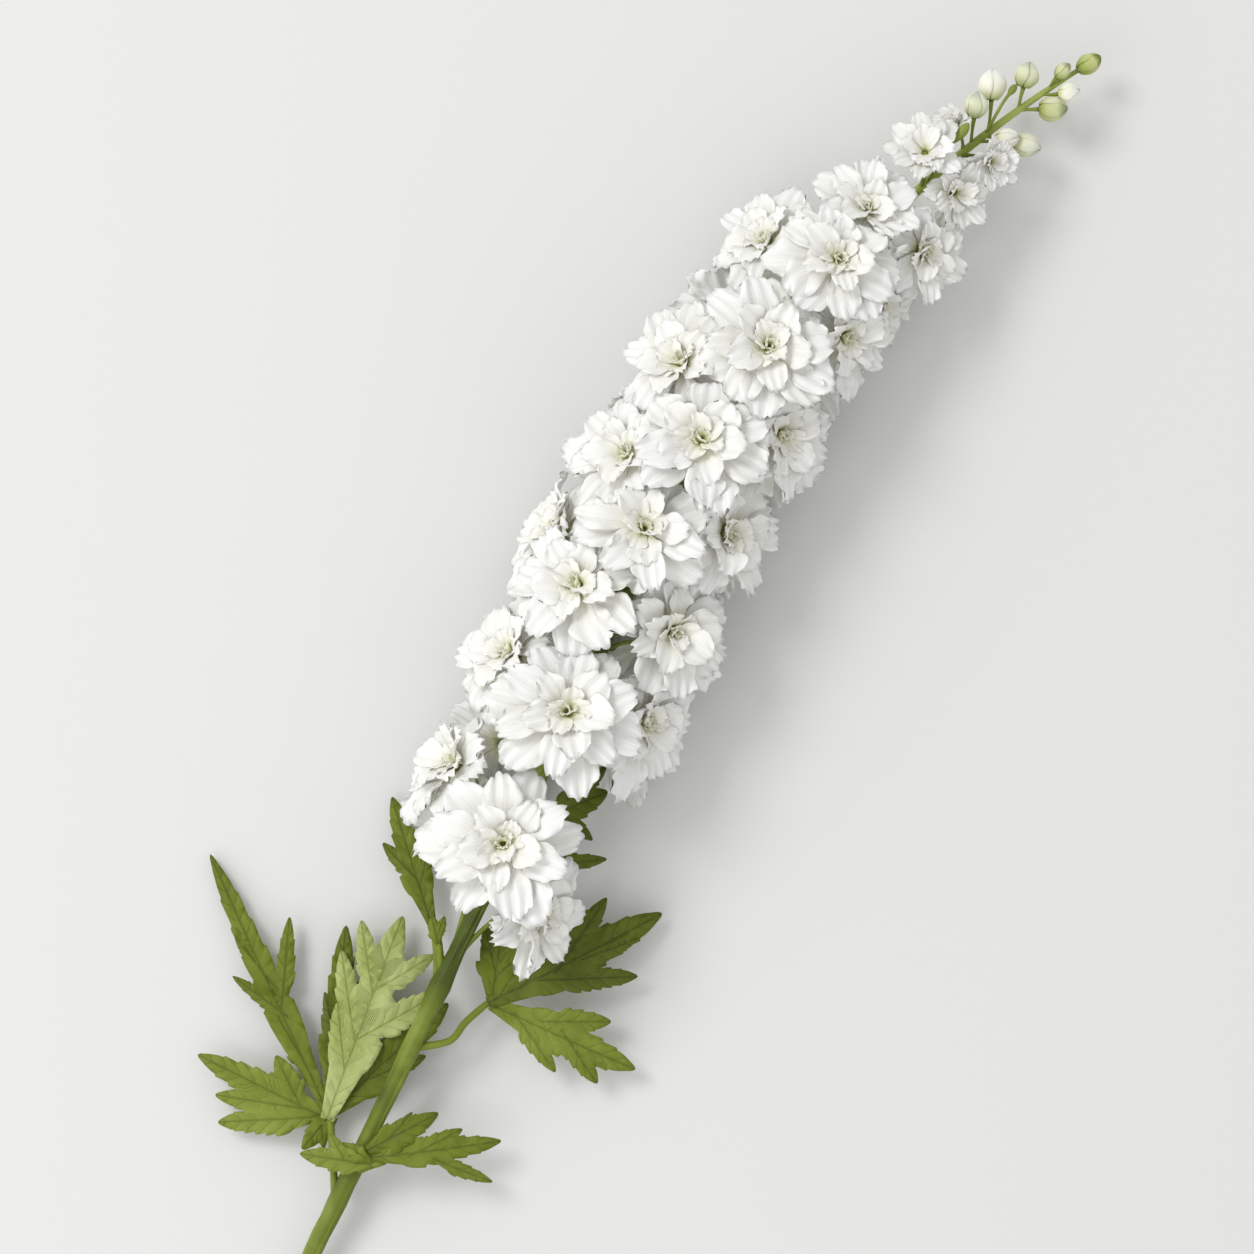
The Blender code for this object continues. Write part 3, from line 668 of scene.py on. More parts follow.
def sheet_plan(lobes):
    """The lobes' outlines merged and filled with small triangles, with an edge along each rib."""
    outlines = [lobe_outline(*lobe) for lobe in lobes]
    corners = [corner for outline in outlines for corner in outline]
    loops, first = [], 0
    for outline in outlines:
        loops.append(list(range(first, first + len(outline))))
        first += len(outline)
    merged, _, triangles, *_ = geometry.delaunay_2d_cdt(corners, [], loops, 1, TOUCHING)
    rim = open_edges([tuple(triangle) for triangle in triangles])
    place = {index: k for k, index in enumerate(sorted({end for edge in rim for end in edge}))}
    points = [merged[index] for index in place]
    edges = [(place[a], place[b]) for a, b in rim]
    for root, tip, _ in lobes:
        steps = int((Vector(tip) - Vector(root)).length / BLADE_STEP)
        edges += [(len(points) + k, len(points) + k + 1) for k in range(steps)]
        points += [Vector(root).lerp(Vector(tip), k / steps) for k in range(steps + 1)]
    points += [Vector(spot) for spot in grid_in(outlines, lobes)]
    # Three rounds of extra points keep a triangle from lying flat across the fold between two ribs.
    for extra_round in range(4):
        sheet, _, triangles, *_ = geometry.delaunay_2d_cdt(points, edges, [], 0, TOUCHING)
        if extra_round < 3:
            points += between_ribs(sheet, triangles, lobes)
    spots = np.array([spot[:] for spot in sheet])
    order = np.array([tuple(triangle) for triangle in triangles])
    middles = spots[order].mean(axis=1)
    kept = np.zeros(len(order), bool)
    for outline in outlines:
        kept |= inside(middles, outline)
    return sheet, [tuple(int(k) for k in row) for row in order[kept]]


def blade(shape, leaf, lift, pale, lobes, draw):
    """Adds one sheet of a leaf, with the place on its nearest rib kept for each point."""
    plan, triangles = sheet_plan(lobes)
    foot = Vector(leaf["foot"])
    span = max(Vector(tip).length for _, _, others in leaf["sheets"] for _, tip, _ in others)
    wave, ripple = draw.uniform(0, 2 * math.pi), draw.uniform(0, 2 * math.pi)
    twist = draw.uniform(-LEAF_TWIST, LEAF_TWIST)
    heights = []
    kept = {"along": [], "away": [], "veined": []}
    for flat in plan:
        places = sorted((rib_place(flat, lobe) for lobe in lobes), key=lambda place: place[2])
        along, away, near = places[0]
        clear = min(places[1][2] - near, 3.0) / 3.0 if len(places) > 1 else 1.0
        past_end = math.sqrt(max(near * near - away * away, 0))
        clear *= max(1 - past_end / 2, 0)
        share = min(flat.length / span, 1)
        # An arch from the foot to the tips, then the sheet's own lift, a fold up from the ribs, broad
        # waves, ripples that grow to the margin, and a twist along the first rib.
        slope = leaf["foot"][2] * (1 - share) + leaf["tips"] * share
        height = slope + leaf["arch"] * math.sin(math.pi * share)
        height += lift * (1 - math.exp(-LIFT_RATE * share)) * (1 - 0.5 * share)
        height += LEAF_FOLD * (math.sqrt(near * near + 0.3) - 0.5)
        height += BLADE_WAVE * math.sin(flat.x / 9 + wave) * math.sin(flat.y / 8 + ripple)
        height += BLADE_RIPPLE * near * math.sin(along / 2.8 + wave + (1 if away > 0 else 0))
        height += twist * rib_place(flat, lobes[0])[1]
        heights.append(max(height, BLADE_THICKNESS))
        kept["along"].append(along)
        kept["away"].append(near)
        kept["veined"].append(clear)
    count = len(plan)
    points = []
    for side in (0.5, -0.5):
        for flat, height in zip(plan, heights):
            points.append((foot.x + flat.x, foot.y + flat.y, height + side * BLADE_THICKNESS))
    faces = list(triangles)
    faces += [(count + c, count + b, count + a) for a, b, c in triangles]
    for a, b in open_edges(triangles):
        faces.append((a, count + a, count + b, b))
    values = {name: numbers * 2 for name, numbers in kept.items()}
    shape.add(points, faces, pale=pale, **values)


def leaf_stalk(leaf):
    """A tube from the stem along the leaf's route, and on for 5 mm under its first lobe."""
    foot = Vector(leaf["foot"])
    start = stem_point(leaf["stem_at"])
    _, _, lobes = leaf["sheets"][0]
    tip = Vector(lobes[0][1]).normalized()
    below = foot - Vector((0, 0, STALK_UNDER))
    end = below + Vector((tip.x, tip.y, -0.12)) * 5
    stops = [start] + [Vector(point) for point in leaf["route"]] + [below, end]
    path = []
    for i in range(len(stops) - 1):
        before, after = stops[max(i - 1, 0)], stops[min(i + 2, len(stops) - 1)]
        a, b = stops[i], stops[i + 1]
        first, second = a + (b - before) / 6, b - (after - a) / 6
        path += bezier(a, first, second, b, 8)[: 8 if i < len(stops) - 2 else 9]
    last = len(path) - 1
    girths = [1.3 - 0.3 * min(i / 6, 1) - 1.4 * max(i / last - 0.65, 0) for i in range(last + 1)]
    return tube(path, [LEAF_STALK_RADIUS * girth for girth in girths], FINE_SIDES)


def leaf_tissue():
    """Fresh leaf blade: matte above with a faint wax gloss, sunk dark ribs and forward side veins."""
    material, shader, tree = new_material("fresh_leaf_blade", {"Roughness": 0.55, "IOR": 1.36})
    place = add_node(tree, "ShaderNodeTexCoord").outputs["Object"]
    along, away, pale, veined = [
        add_node(tree, "ShaderNodeAttribute", attribute_name=name).outputs["Fac"]
        for name in ("along", "away", "pale", "veined")]
    blotch, waver, grain = [
        add_node(tree, "ShaderNodeTexNoise", {"Vector": place, "Scale": scale_for(size), "Detail": detail})
        for size, detail in ((LEAF_BLOTCH, 4.0), (VEIN_WAVER, 1.0), (LEAF_GRAIN, 2.0))]
    rib = add_node(tree, "ShaderNodeMapRange", (away, 0.1, 0.65, 1.0, 0.0))
    straight = add_node(tree, "ShaderNodeMath", (away, VEIN_SLOPE, along), operation="MULTIPLY_ADD")
    run = add_node(tree, "ShaderNodeMath", (waver, 2.2, straight), operation="MULTIPLY_ADD")
    saw = add_node(tree, "ShaderNodeMath", (run, VEIN_SPACING / 2), operation="PINGPONG")
    beat = add_node(tree, "ShaderNodeMath", (saw, VEIN_SPACING), operation="DIVIDE")
    vein = add_node(tree, "ShaderNodeMapRange", (beat, 0.02, 0.07, 0.6, 0.0))
    clear_vein = add_node(tree, "ShaderNodeMath", (vein, veined), operation="MULTIPLY")
    lines = add_node(tree, "ShaderNodeMath", (rib, clear_vein), operation="MAXIMUM")
    # Blotches, and a paler margin, on each sheet's own tone.
    tone = add_node(tree, "ShaderNodeMath", (blotch, 0.6, pale), operation="MULTIPLY_ADD")
    tone = add_node(tree, "ShaderNodeMath", (away, 0.022, tone), operation="MULTIPLY_ADD")
    tone = add_node(tree, "ShaderNodeMath", (tone, 0.36), operation="SUBTRACT")
    base = add_node(tree, "ShaderNodeValToRGB", (tone,), stops=(
        (0.0, "505B0E"), (0.35, "697617"), (0.7, "88953B"), (1.0, "B2BB78")))
    dark = add_node(tree, "ShaderNodeValToRGB", (tone,), stops=(
        (0.0, "313C08"), (0.35, "49580F"), (0.7, "667524"), (1.0, "88984C")))
    share = add_node(tree, "ShaderNodeMath", (lines, 0.62), operation="MULTIPLY")
    mix = add_node(tree, "ShaderNodeMix", {0: share, 6: base, 7: dark}, data_type="RGBA")
    # The blade swells between its side veins.
    swell = add_node(tree, "ShaderNodeMath", (beat, veined), operation="MULTIPLY")
    swell = add_node(tree, "ShaderNodeMath", (swell, 2.6), operation="MULTIPLY")
    swell = add_node(tree, "ShaderNodeMath", (grain, 0.25, swell), operation="MULTIPLY_ADD")
    height = add_node(tree, "ShaderNodeMath", (swell, lines), operation="SUBTRACT")
    bump = add_node(tree, "ShaderNodeBump", {"Height": height, "Strength": 0.6, "Distance": 0.0004})
    feed(shader, {"Base Color": mix.outputs[2], "Normal": bump})
    return material


leaf_material = leaf_tissue()
for number, (name, leaf) in enumerate(LEAVES.items()):
    draw = random.Random(LEAF_SEED + number)
    shape = Shape()
    for lift, pale, lobes in leaf["sheets"]:
        blade(shape, leaf, lift, pale, lobes, draw)
    shape.add(*leaf_stalk(leaf), along=3.2, away=5.0, pale=0.45)
    keep(shape.piece(name + "_blade", leaf_material), name)


# Petals. White delphinium petals narrow to a claw in the throat and widen to a ruffled, toothed tip. They
# are thin living tissue with fine lines along them, greenish in the throat. Five whorls of them make a
# bloom, and each petal is bent where it meets a neighbouring bloom.
PETAL_THICKNESS = 0.3
PETAL_COLUMNS = 16
PETAL_ROWS = 11
PETAL_KINDS = 7
PETAL_SEED = 70
# Each whorl has a number of petals, and for each petal its length and width, its slope in degrees at the
# claw and at the tip, how much it is cupped and ruffled, and the radius and height of its claw.
WHORL_SIZES = ("count", "length", "width", "rise", "droop", "cup", "ruffle", "radius", "height")
WHORLS = {name: dict(zip(WHORL_SIZES, sizes)) for name, *sizes in (
    ("outer", 6, 32, 19, 22, -18, 0.1, 1.9, 2.6, -1.5),
    ("second", 6, 28, 17, 40, -8, 0.14, 1.9, 2.3, 0.0),
    ("third", 5, 20, 14, 60, 4, 0.2, 1.5, 2.0, 1.0),
    ("inner", 5, 12.5, 9.5, 78, 15, 0.3, 1.0, 1.6, 1.5),
    ("heart", 4, 7.5, 6.5, 88, 60, 0.45, 0.6, 1.1, 1.5),
)}
# The looser a bloom, the more its petals turn, tilt and roll apart.
LOOSENESS = 0.19
LOOSE_TURN = 0.9
# Lines along a petal are about 1 mm apart, so some 18 of them cross it.
PETAL_LINES = 18.0
LINE_SHARE = 0.4
CREAM_SHARE = 0.22


def smooth(value):
    value = np.clip(value, 0, 1)
    return value * value * (3 - 2 * value)


def petal_sheet(whorl, draw):
    """Middle surface of one petal as rows of points: X to the tip, Y across, Z the way the bloom faces."""
    share = np.linspace(0, 1, PETAL_ROWS + 1)[:, None]
    across = np.linspace(-1, 1, PETAL_COLUMNS + 1)[None, :]
    length = whorl["length"]
    # It rises from the claw and leans over to its tip.
    rise = whorl["rise"] + draw.uniform(-6, 6)
    slope = np.radians(rise + (whorl["droop"] - whorl["rise"] + draw.uniform(-12, 12)) * share**1.1)
    step = length / PETAL_ROWS
    x = np.vstack([[0], np.cumsum(np.cos(slope[1:]) * step, axis=0)])
    z = np.vstack([[0], np.cumsum(np.sin(slope[1:]) * step, axis=0)])
    # The narrow claw widens to a blade, which draws in a little at its tip.
    half = whorl["width"] / 2 * draw.uniform(0.88, 1.15)
    half = half * (0.2 + 0.8 * smooth(share / draw.uniform(0.6, 0.75))) * (1 - 0.3 * share**7)
    # The tip is rounded, scalloped where the long folds end, and often notched or pointed.
    folds = draw.uniform(1.1, 1.8)
    phase = draw.uniform(0, math.pi)
    fold = np.cos(2 * math.pi * folds * across + phase)
    scallops = np.abs(np.sin(math.pi * folds * across + phase / 2 + 0.4)) ** 0.8
    rounding = -draw.uniform(0.13, 0.24) * np.abs(across) ** 2.6 * share**4
    point = 0.05 * draw.uniform(-0.6, 1) * np.exp(-((across / 0.35) ** 2)) * share**6
    reach = length * (rounding + 0.1 * (scallops - 0.6) * share**9 + point)
    # The blade is cupped, ruffled at its sides, folded lengthwise, creased down its middle and askew.
    ruffle = whorl["ruffle"] * draw.uniform(0.75, 1.3)
    side = np.sin(2 * math.pi * (draw.uniform(1.7, 2.5) * share + draw.random())
                  + np.sign(across) * draw.uniform(0.5, 2.6))
    lift = whorl["cup"] * half * across**2
    lift = lift + ruffle * 0.75 * side * np.abs(across) ** 2 * smooth(share / 0.5)
    lift = lift + ruffle * 0.6 * fold * share**1.8
    lift = lift - length * 0.02 * np.exp(-((across / 0.22) ** 2)) * np.sin(math.pi * share) ** 0.8
    lift = lift + half * across * draw.uniform(-0.35, 0.35) * share
    lift = lift + half * np.abs(across) * draw.uniform(-0.15, 0.3) * share
    widen = 1 + 0.05 * side * np.abs(across) ** 3 * share
    sway = length * draw.uniform(-0.08, 0.08) * share**2
    points = np.stack([
        x + reach * np.cos(slope) - lift * np.sin(slope),
        half * across * widen + sway,
        z + reach * np.sin(slope) + lift * np.cos(slope),
    ], axis=2)
    normal = np.stack([-np.sin(slope), 0 * slope, np.cos(slope)], axis=2)
    return points, normal


def shell_faces(rows, columns, flipped=False):
    """Faces of a closed shell of two grids of points, the second one under the first, or over it."""
    count = rows * columns
    corners = [i * columns + k for i in range(rows - 1) for k in range(columns - 1)]
    faces = [(a, a + columns, a + columns + 1, a + 1) for a in corners]
    if flipped:
        faces = [(a, d, c, b) for a, b, c, d in faces]
    faces += [tuple(count + k for k in reversed(face)) for face in faces]
    rim = list(range(columns))
    rim += [i * columns + columns - 1 for i in range(1, rows)]
    rim += [(rows - 1) * columns + k for k in range(columns - 2, -1, -1)]
    rim += [i * columns for i in range(rows - 2, 0, -1)]
    for a, b in zip(rim, rim[1:] + rim[:1]):
        edge = (a, b, count + b, count + a)
        faces.append(edge[::-1] if flipped else edge)
    return faces


def petal_mesh(name, whorl, draw):
    """One petal as a closed shell with its place across and along kept in a UV map."""
    middle, normal = petal_sheet(whorl, draw)
    rows, columns = PETAL_ROWS + 1, PETAL_COLUMNS + 1
    points = np.concatenate([(middle + normal * PETAL_THICKNESS / 2).reshape(-1, 3),
                             (middle - normal * PETAL_THICKNESS / 2).reshape(-1, 3)])
    mesh = bpy.data.meshes.new(name)
    mesh.from_pydata(points.tolist(), [], shell_faces(rows, columns))
    layer = mesh.uv_layers.new(name="petal")
    places = [(k / (columns - 1), i / (rows - 1)) for i in range(rows) for k in range(columns)] * 2
    for loop in mesh.loops:
        layer.data[loop.index].uv = places[loop.vertex_index]
    mesh.shade_smooth()
    return mesh


def petal_box(name, whorl, seed):
    """A collection with a few different petals of one whorl, for the whorls to pick from."""
    group = bpy.data.collections.new(name)
    draw = random.Random(seed)
    for kind in range(PETAL_KINDS):
        petal = f"{name}_{kind}"
        group.objects.link(bpy.data.objects.new(petal, petal_mesh(petal, whorl, draw)))
    return group


def whorl_tree():
    """Geometry nodes that add one whorl of petals to what is already there."""
    tree = bpy.data.node_groups.new("petal_whorl", "GeometryNodeTree")
    for name, kind in (("Bloom", "Geometry"), ("Petals", "Collection"), ("Count", "Int"), ("Turn", "Float"),
                       ("Claw radius", "Float"), ("Claw height", "Float"), ("Tilt", "Float"),
                       ("Looseness", "Float"), ("Seed", "Int"), ("Material", "Material")):
        tree.interface.new_socket(name, in_out="INPUT", socket_type="NodeSocket" + kind)
    tree.interface.new_socket("Bloom", in_out="OUTPUT", socket_type="NodeSocketGeometry")
    given = add_node(tree, "NodeGroupInput").outputs
    index = add_node(tree, "GeometryNodeInputIndex")

    # Each petal's own chances, from the bloom's seed: its turn, tilt, roll, size and tint.
    chances = []
    for shift, low, high in ((1, -1.0, 1.0), (2, -1.0, 1.0), (3, -1.5, 1.5), (4, 0.9, 1.07), (6, 0.0, 1.0)):
        seed = add_node(tree, "ShaderNodeMath", (given["Seed"], float(shift)), operation="ADD")
        chance = add_node(tree, "FunctionNodeRandomValue", {2: low, 3: high, "Seed": seed},
                          data_type="FLOAT")
        chances.append(chance.outputs[1])
    turn, lean, roll, growth, tint = chances

    # Claws stand on a ring, evenly but for their own turn.
    step = add_node(tree, "ShaderNodeMath", (2 * math.pi, given["Count"]), operation="DIVIDE")
    angle = add_node(tree, "ShaderNodeMath", (index, step, given["Turn"]), operation="MULTIPLY_ADD")
    loose = add_node(tree, "ShaderNodeMath", (given["Looseness"], LOOSE_TURN), operation="MULTIPLY")
    angle = add_node(tree, "ShaderNodeMath", (turn, loose, angle), operation="MULTIPLY_ADD")
    side = add_node(tree, "ShaderNodeMath", (angle,), operation="COSINE")
    over = add_node(tree, "ShaderNodeMath", (angle,), operation="SINE")
    ring = add_node(tree, "ShaderNodeCombineXYZ", (side, over))
    ring = add_node(tree, "ShaderNodeVectorMath", {0: ring, "Scale": given["Claw radius"]},
                    operation="SCALE")
    lifted = add_node(tree, "ShaderNodeCombineXYZ", {"Z": given["Claw height"]})
    where = add_node(tree, "ShaderNodeVectorMath", (ring, lifted), operation="ADD")
    spots = add_node(tree, "GeometryNodePoints", {"Count": given["Count"], "Position": where})

    # Each claw gets one kind of petal, tilted up, rolled and tinted.
    tilt = add_node(tree, "ShaderNodeMath", (lean, given["Looseness"], given["Tilt"]),
                    operation="MULTIPLY_ADD")
    up = add_node(tree, "ShaderNodeMath", (tilt, -1.0), operation="MULTIPLY")
    roll = add_node(tree, "ShaderNodeMath", (roll, given["Looseness"]), operation="MULTIPLY")
    turned = add_node(tree, "ShaderNodeCombineXYZ", (roll, up, angle))
    petals = add_node(tree, "GeometryNodeCollectionInfo", {
        "Collection": given["Petals"], "Separate Children": True, "Reset Children": True})
    seed = add_node(tree, "ShaderNodeMath", (given["Seed"], 5.0), operation="ADD")
    pick = add_node(tree, "FunctionNodeRandomValue", {4: 0, 5: PETAL_KINDS - 1, "Seed": seed},
                    data_type="INT")
    placed = add_node(tree, "GeometryNodeInstanceOnPoints", {
        "Points": spots, "Instance": petals, "Pick Instance": True, "Instance Index": pick.outputs[2],
        "Rotation": turned, "Scale": growth})
    tinted = add_node(tree, "GeometryNodeStoreNamedAttribute", {
        "Geometry": placed, "Name": "tint", "Value": tint}, data_type="FLOAT", domain="INSTANCE")
    real = add_node(tree, "GeometryNodeRealizeInstances", (tinted,))
    painted = add_node(tree, "GeometryNodeSetMaterial", {"Geometry": real, "Material": given["Material"]})
    joined = add_node(tree, "GeometryNodeJoinGeometry", (given["Bloom"],))
    feed(joined, (painted,))
    add_node(tree, "NodeGroupOutput", (joined,))
    return tree


def petal_tissue():
    """White petal: thin satin tissue that light comes through, yellow-green in the throat."""
    material, shader, tree = new_material("white_petal_tissue", {
        "Roughness": 0.5, "IOR": 1.38, "Subsurface Weight": 0.25, "Subsurface Scale": 0.0015,
        "Subsurface Radius": (1.0, 0.94, 0.8)})
    layer = add_node(tree, "ShaderNodeUVMap", uv_map="petal")
    depth = add_node(tree, "ShaderNodeAttribute", attribute_name="depth").outputs["Fac"]
    tint = add_node(tree, "ShaderNodeAttribute", attribute_name="tint").outputs["Fac"]
    base = add_node(tree, "ShaderNodeValToRGB", (depth,), stops=(
        (0.03, "A3AA35"), (0.09, "D3D675"), (0.16, "EFEFBD"), (0.26, "F9F8E6"), (0.42, "FCFBF6"),
        (1.0, "FCFCFB")))
    place = add_node(tree, "ShaderNodeMapping", {"Vector": layer, "Scale": (PETAL_LINES, 1.3, 1.0)})
    pleats = add_node(tree, "ShaderNodeTexNoise", {"Vector": place, "Scale": 1.0, "Detail": 2.0})
    cream = add_node(tree, "ShaderNodeMath", (tint, CREAM_SHARE), operation="MULTIPLY")
    mix = add_node(tree, "ShaderNodeMix", {0: cream, 6: base, 7: colour("EFEDDA")}, data_type="RGBA")
    line = add_node(tree, "ShaderNodeMapRange", (pleats, 0.45, 0.65, 0.0, LINE_SHARE))
    mix = add_node(tree, "ShaderNodeMix", {0: line, 6: mix.outputs[2], 7: colour("E5E6DE")},
                   data_type="RGBA")
    bump = add_node(tree, "ShaderNodeBump", {"Height": pleats, "Strength": 0.5, "Distance": 0.0005})
    feed(shader, {"Base Color": mix.outputs[2], "Normal": bump})
    return material


def set_inputs(modifier, values):
    for item in modifier.node_group.interface.items_tree:
        if item.in_out == "INPUT" and item.name in values:
            modifier[item.identifier] = values[item.name]


# How sharply petals bend at a plane, how far upper blooms lap over lower ones, how much more a plane
# turns to a neighbour that stands higher or lower, how far petals may reach past a plane, and how far
# off a neighbour still counts, as a share of both radii.
CROWDING = 8
LAP = 0.22
STACKING = 1.9
OVERLAP = 3.2
NEIGHBOUR_REACH = 1.5
# Blooms under this radius near the tip are still opening, with fewer petals that stand up more.
OPENING_RADIUS = 20
OPENING_WHORLS = 3
OPENING_PETALS = 5
OPENING_TILT = math.radians(70)
FLAT_SCALE = 0.85


def cell_planes(flower):
    """Planes that part this bloom from its neighbours, the stem's core and the surface it lies on."""
    planes = [(-flower.out, flower.distance - CORE_RADIUS * flower.scale * 0.6),
              (Vector((0, 0, -1)), flower.centre.z)]
    for other in flowers:
        gap = other.centre - flower.centre
        if other is flower or gap.length > (flower.radius + other.radius) * NEIGHBOUR_REACH:
            continue
        stacked = Vector((gap.x, gap.y, gap.z * STACKING)).normalized()
        lean = (flower.out + other.out) * LAP * stacked.dot(flower.ahead + other.ahead) / 2
        normal = (stacked + lean).normalized()
        share = flower.radius / (flower.radius + other.radius)
        planes.append((normal, gap.dot(normal) * share + OVERLAP))
    for bud in buds:
        gap = bud.centre - flower.centre
        planes.append((gap.normalized(), gap.length - bud.reach))
    return planes


def fit_in_cell(offsets, planes):
    """Draws points, given from the throat, in towards it until they clear every plane."""
    reach = np.maximum(np.linalg.norm(offsets, axis=1), 1e-4)
    headings = offsets / reach[:, None]
    normals = np.array([normal[:] for normal, _ in planes])
    rooms = np.array([room for _, room in planes])
    towards = np.maximum(headings @ normals.T, 0) / rooms
    crowding = reach**-CROWDING + (towards**CROWDING).sum(axis=1)
    return headings * (crowding ** (-1 / CROWDING))[:, None]


petal_material = petal_tissue()
tree = whorl_tree()
boxes = [petal_box("petal_" + name, whorl, PETAL_SEED + k)
         for k, (name, whorl) in enumerate(WHORLS.items())]


def grow_bloom(number, flower):
    """A bloom's whorls of petals as one plain mesh, full size, with its throat at the origin."""
    mesh = bpy.data.meshes.new(flower.name + "_petals")
    piece = bpy.data.objects.new(flower.name + "_petals", mesh)
    bpy.context.scene.collection.objects.link(piece)
    opening = flower.radius < OPENING_RADIUS
    for k, (name, whorl) in enumerate(WHORLS.items()):
        if opening and k >= OPENING_WHORLS:
            break
        modifier = piece.modifiers.new(name, "NODES")
        modifier.node_group = tree
        set_inputs(modifier, {
            "Petals": boxes[k], "Count": OPENING_PETALS if opening else whorl["count"],
            "Turn": (1 + k % 2) * math.pi / whorl["count"],
            "Claw radius": float(whorl["radius"]), "Claw height": float(whorl["height"]),
            "Tilt": OPENING_TILT * max(FLAT_SCALE - flower.scale, 0.0), "Looseness": LOOSENESS,
            "Seed": number * 20 + k, "Material": petal_material})
    graph = bpy.context.evaluated_depsgraph_get()
    mesh = bpy.data.meshes.new_from_object(piece.evaluated_get(graph))
    piece.modifiers.clear()
    piece.data = mesh
    return piece


def press_into_place(mesh, flower):
    """Keeps each point's depth in the bloom, then sets the bloom in its row, bent where it is crowded."""
    places = np.empty(len(mesh.vertices) * 3)
    mesh.vertices.foreach_get("co", places)
    places = places.reshape(-1, 3)
    depth = mesh.attributes.new("depth", "FLOAT", "POINT")
    depth.data.foreach_set("value", np.linalg.norm(places, axis=1) / FULL_RADIUS)
    sides = np.array([flower.first[:], flower.second[:], flower.face[:]])
    offsets = fit_in_cell(places * flower.scale @ sides, cell_planes(flower))
    places = (offsets + np.array((flower.centre - ORIGIN)[:])) * MM
    mesh.vertices.foreach_set("co", places.ravel())
    mesh.update()


for number, flower in enumerate(flowers):
    bloom = grow_bloom(number, flower)
    press_into_place(bloom.data, flower)
    keep(bloom, flower.name)


# Buds. Each closed bud is an egg of five sepals that lap over each other, white-green with a greener
# point, on the end of its stalk.
SEPALS = 5
SEPAL_ROWS = 11
SEPAL_COLUMNS = 8
SEPAL_SPREAD = math.radians(52)
SEPAL_LOOSENESS = 0.1
BUD_SEED = 90
# How green each bud still is, from white and about to open to shut and green, and how far its sepals
# differ from each other.
BUD_GREENS = (0.0, 0.3, 0.4, 0.1, 0.4, 0.6, 0.0, 0.7, 1.0)
GREEN_RANGE = 0.2
BUD_BLOTCH = 3.33


def sepal(bud, turn, green, draw):
    """One sepal as a closed shell curved round the bud, with its margin lifted at one side."""
    loose = (1 - green) * SEPAL_LOOSENESS
    wave = draw.uniform(0, 2 * math.pi)
    over = bud.face.cross(bud.side)
    points, along = [], []
    for lift in (0.03, -0.03):
        for i in range(SEPAL_ROWS + 1):
            t = i / SEPAL_ROWS
            girth = math.sin(math.pi * (0.1 + 0.895 * t)) ** 0.62
            spread = SEPAL_SPREAD * (0.55 + 0.45 * math.sin(math.pi * t))
            for k in range(SEPAL_COLUMNS + 1):
                v = 2 * k / SEPAL_COLUMNS - 1
                swell = 0.92 + 0.08 * v + 0.06 * (1 - v * v) + lift
                swell += loose * t * (1 + math.sin(3 * v + wave)) + 0.02 * math.sin(9 * t + 4 * v + wave)
                around = turn + v * spread
                radius = bud.radius * girth * swell
                across = bud.side * math.cos(around) + over * math.sin(around)
                rise = t * (1 - 0.06 * v * v) + 0.02 * math.sin(5 * v + wave) * t
                points.append(bud.foot + bud.face * bud.length * rise + across * radius)
                along.append(t)
    return points, shell_faces(SEPAL_ROWS + 1, SEPAL_COLUMNS + 1, flipped=True), along


def bud_tissue():
    """Bud skin: waxy white-green, greener at the base and the point."""
    material, shader, tree = new_material("white_green_bud_skin", {"Roughness": 0.5, "IOR": 1.38})
    along = add_node(tree, "ShaderNodeAttribute", attribute_name="along").outputs["Fac"]
    green = add_node(tree, "ShaderNodeAttribute", attribute_name="green").outputs["Fac"]
    place = add_node(tree, "ShaderNodeTexCoord").outputs["Object"]
    blotch = add_node(tree, "ShaderNodeTexNoise", {
        "Vector": place, "Scale": scale_for(BUD_BLOTCH), "Detail": 2.0})
    shift = add_node(tree, "ShaderNodeMath", (blotch, 0.2, along), operation="MULTIPLY_ADD")
    white = add_node(tree, "ShaderNodeValToRGB", (shift,), stops=(
        (0.02, "98A548"), (0.2, "DADCA8"), (0.42, "F3F2E0"), (1.0, "F4F4EE")))
    shut = add_node(tree, "ShaderNodeValToRGB", (shift,), stops=(
        (0.05, "7C8D33"), (0.4, "AAB564"), (0.75, "C9CE8C"), (1.0, "7A8B33")))
    mix = add_node(tree, "ShaderNodeMix", {0: green, 6: white, 7: shut}, data_type="RGBA")
    bump = add_node(tree, "ShaderNodeBump", {"Height": blotch, "Strength": 0.2, "Distance": 0.0003})
    feed(shader, {"Base Color": mix.outputs[2], "Normal": bump})
    return material


bud_material = bud_tissue()
for number, (bud, green) in enumerate(zip(buds, BUD_GREENS)):
    draw = random.Random(BUD_SEED + number)
    shape = Shape()
    first = draw.uniform(0, 2 * math.pi)
    for k in range(SEPALS):
        points, faces, along = sepal(bud, first + 2 * math.pi * k / SEPALS, green, draw)
        tone = min(max(green + draw.uniform(-GREEN_RANGE, GREEN_RANGE), 0.0), 1.0)
        shape.add(points, faces, along=along, green=tone)
    keep(shape.piece(bud.name + "_sepals", bud_material), bud.name)


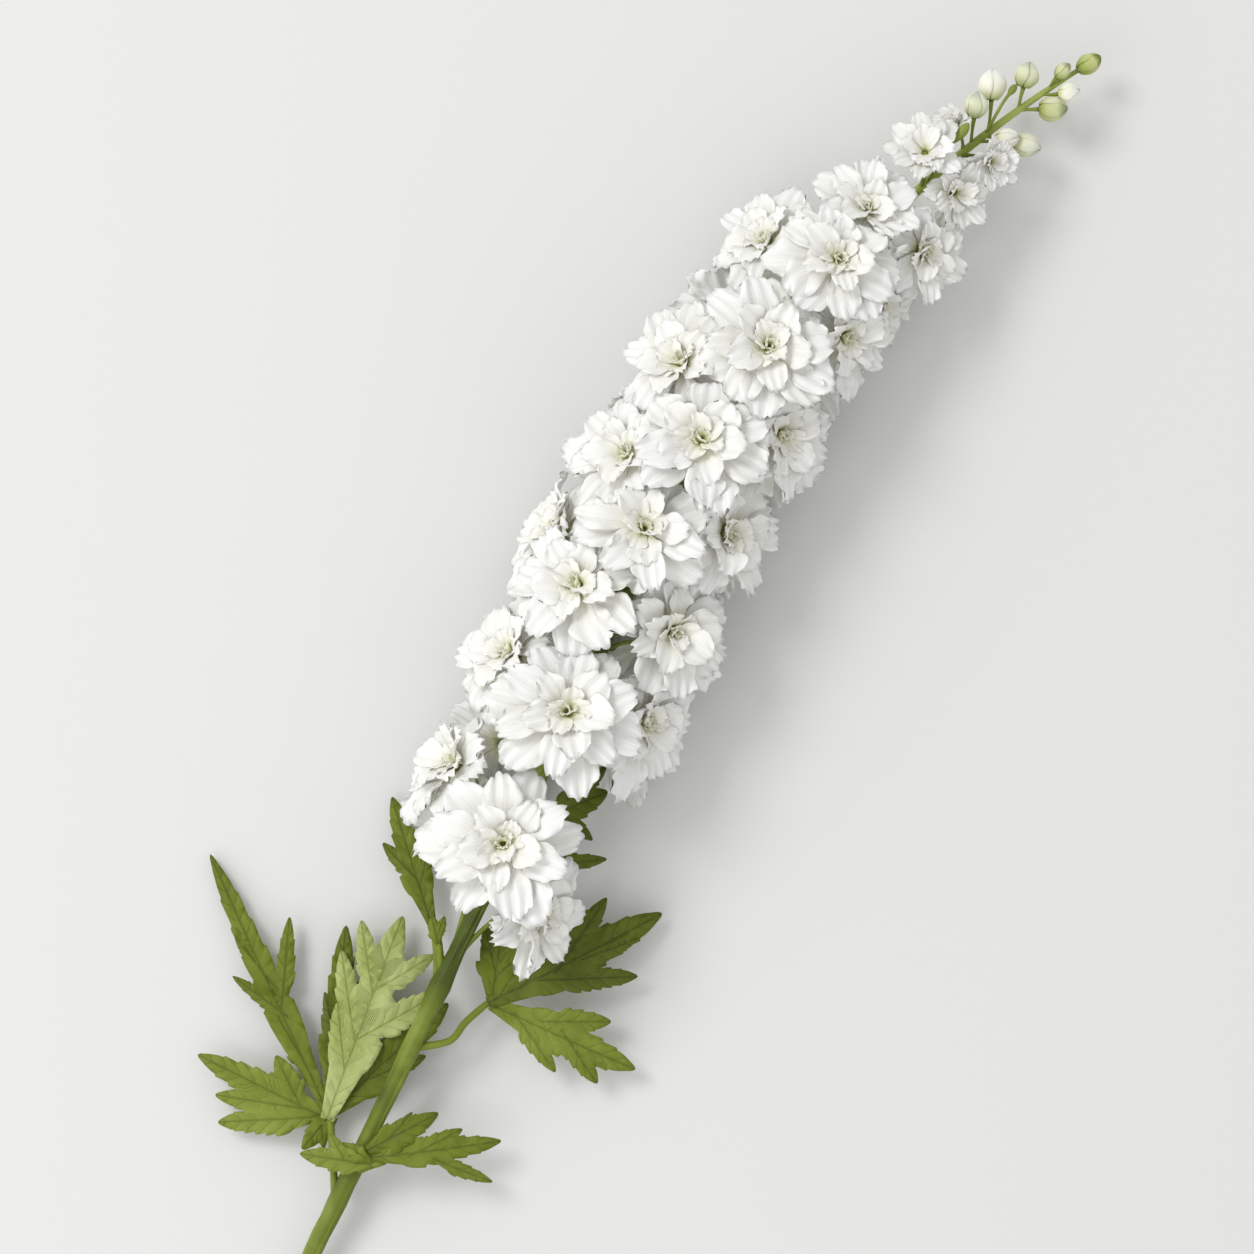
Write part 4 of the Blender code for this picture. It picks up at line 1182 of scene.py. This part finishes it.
# Floor, light and camera. A smooth matte white table top under one broad soft light from the upper left
# of the picture, with even light from all round. Sizes here are metres.
PICTURE_TURN = math.radians(64.5)
picture_right = Vector((math.cos(PICTURE_TURN), -math.sin(PICTURE_TURN), 0))
picture_up = Vector((math.sin(PICTURE_TURN), math.cos(PICTURE_TURN), 0))
aim = Vector((0.047, -0.0172, 0.0))
TABLE_REACH = 9
ROOM_LIGHT = 0.69
CAMERA_HEIGHT = 1.8
FOCAL_LENGTH = 122.0
SENSOR_WIDTH = 36.0

mesh = bpy.data.meshes.new("table")
corners = [(x * TABLE_REACH, y * TABLE_REACH, 0) for x, y in ((-1, -1), (1, -1), (1, 1), (-1, 1))]
mesh.from_pydata(corners, [], [(0, 1, 2, 3)])
paint, _, _ = new_material("matte_white_table", {"Roughness": 0.7, "Base Color": colour("E0E0DF")})
mesh.materials.append(paint)
table = bpy.data.objects.new("table", mesh)
bpy.context.scene.collection.objects.link(table)


def soft_light(name, direction, distance, size, power):
    """A round lamp that shines at the middle of the picture from this direction."""
    lamp = bpy.data.lights.new(name, "AREA")
    lamp.shape = "DISK"
    lamp.size = size
    lamp.energy = power
    made = bpy.data.objects.new(name, lamp)
    made.location = aim + direction.normalized() * distance
    made.rotation_euler = direction.to_track_quat("Z", "Y").to_euler()
    bpy.context.scene.collection.objects.link(made)


up = Vector((0, 0, 1))
window_side = picture_up * 0.5 - picture_right * 0.62 + up
fill_side = -picture_up * 0.7 - picture_right * 0.9 + up * 0.9
soft_light("window", window_side, distance=4.2, size=1.7, power=64.5)
soft_light("wide_fill", fill_side, distance=2.0, size=2.0, power=9.2)
world = bpy.data.worlds.new("soft_room")
world.use_nodes = True
feed(world.node_tree.nodes["Background"], {"Color": colour("FFFFFF"), "Strength": ROOM_LIGHT})
bpy.context.scene.world = world

lens = bpy.data.cameras.new("overhead")
lens.sensor_width = SENSOR_WIDTH
lens.lens = FOCAL_LENGTH
camera = bpy.data.objects.new("overhead", lens)
camera.location = aim + up * CAMERA_HEIGHT
camera.rotation_euler = (0, 0, -PICTURE_TURN)
bpy.context.scene.collection.objects.link(camera)
bpy.context.scene.camera = camera
bpy.context.scene.view_settings.view_transform = "Standard"
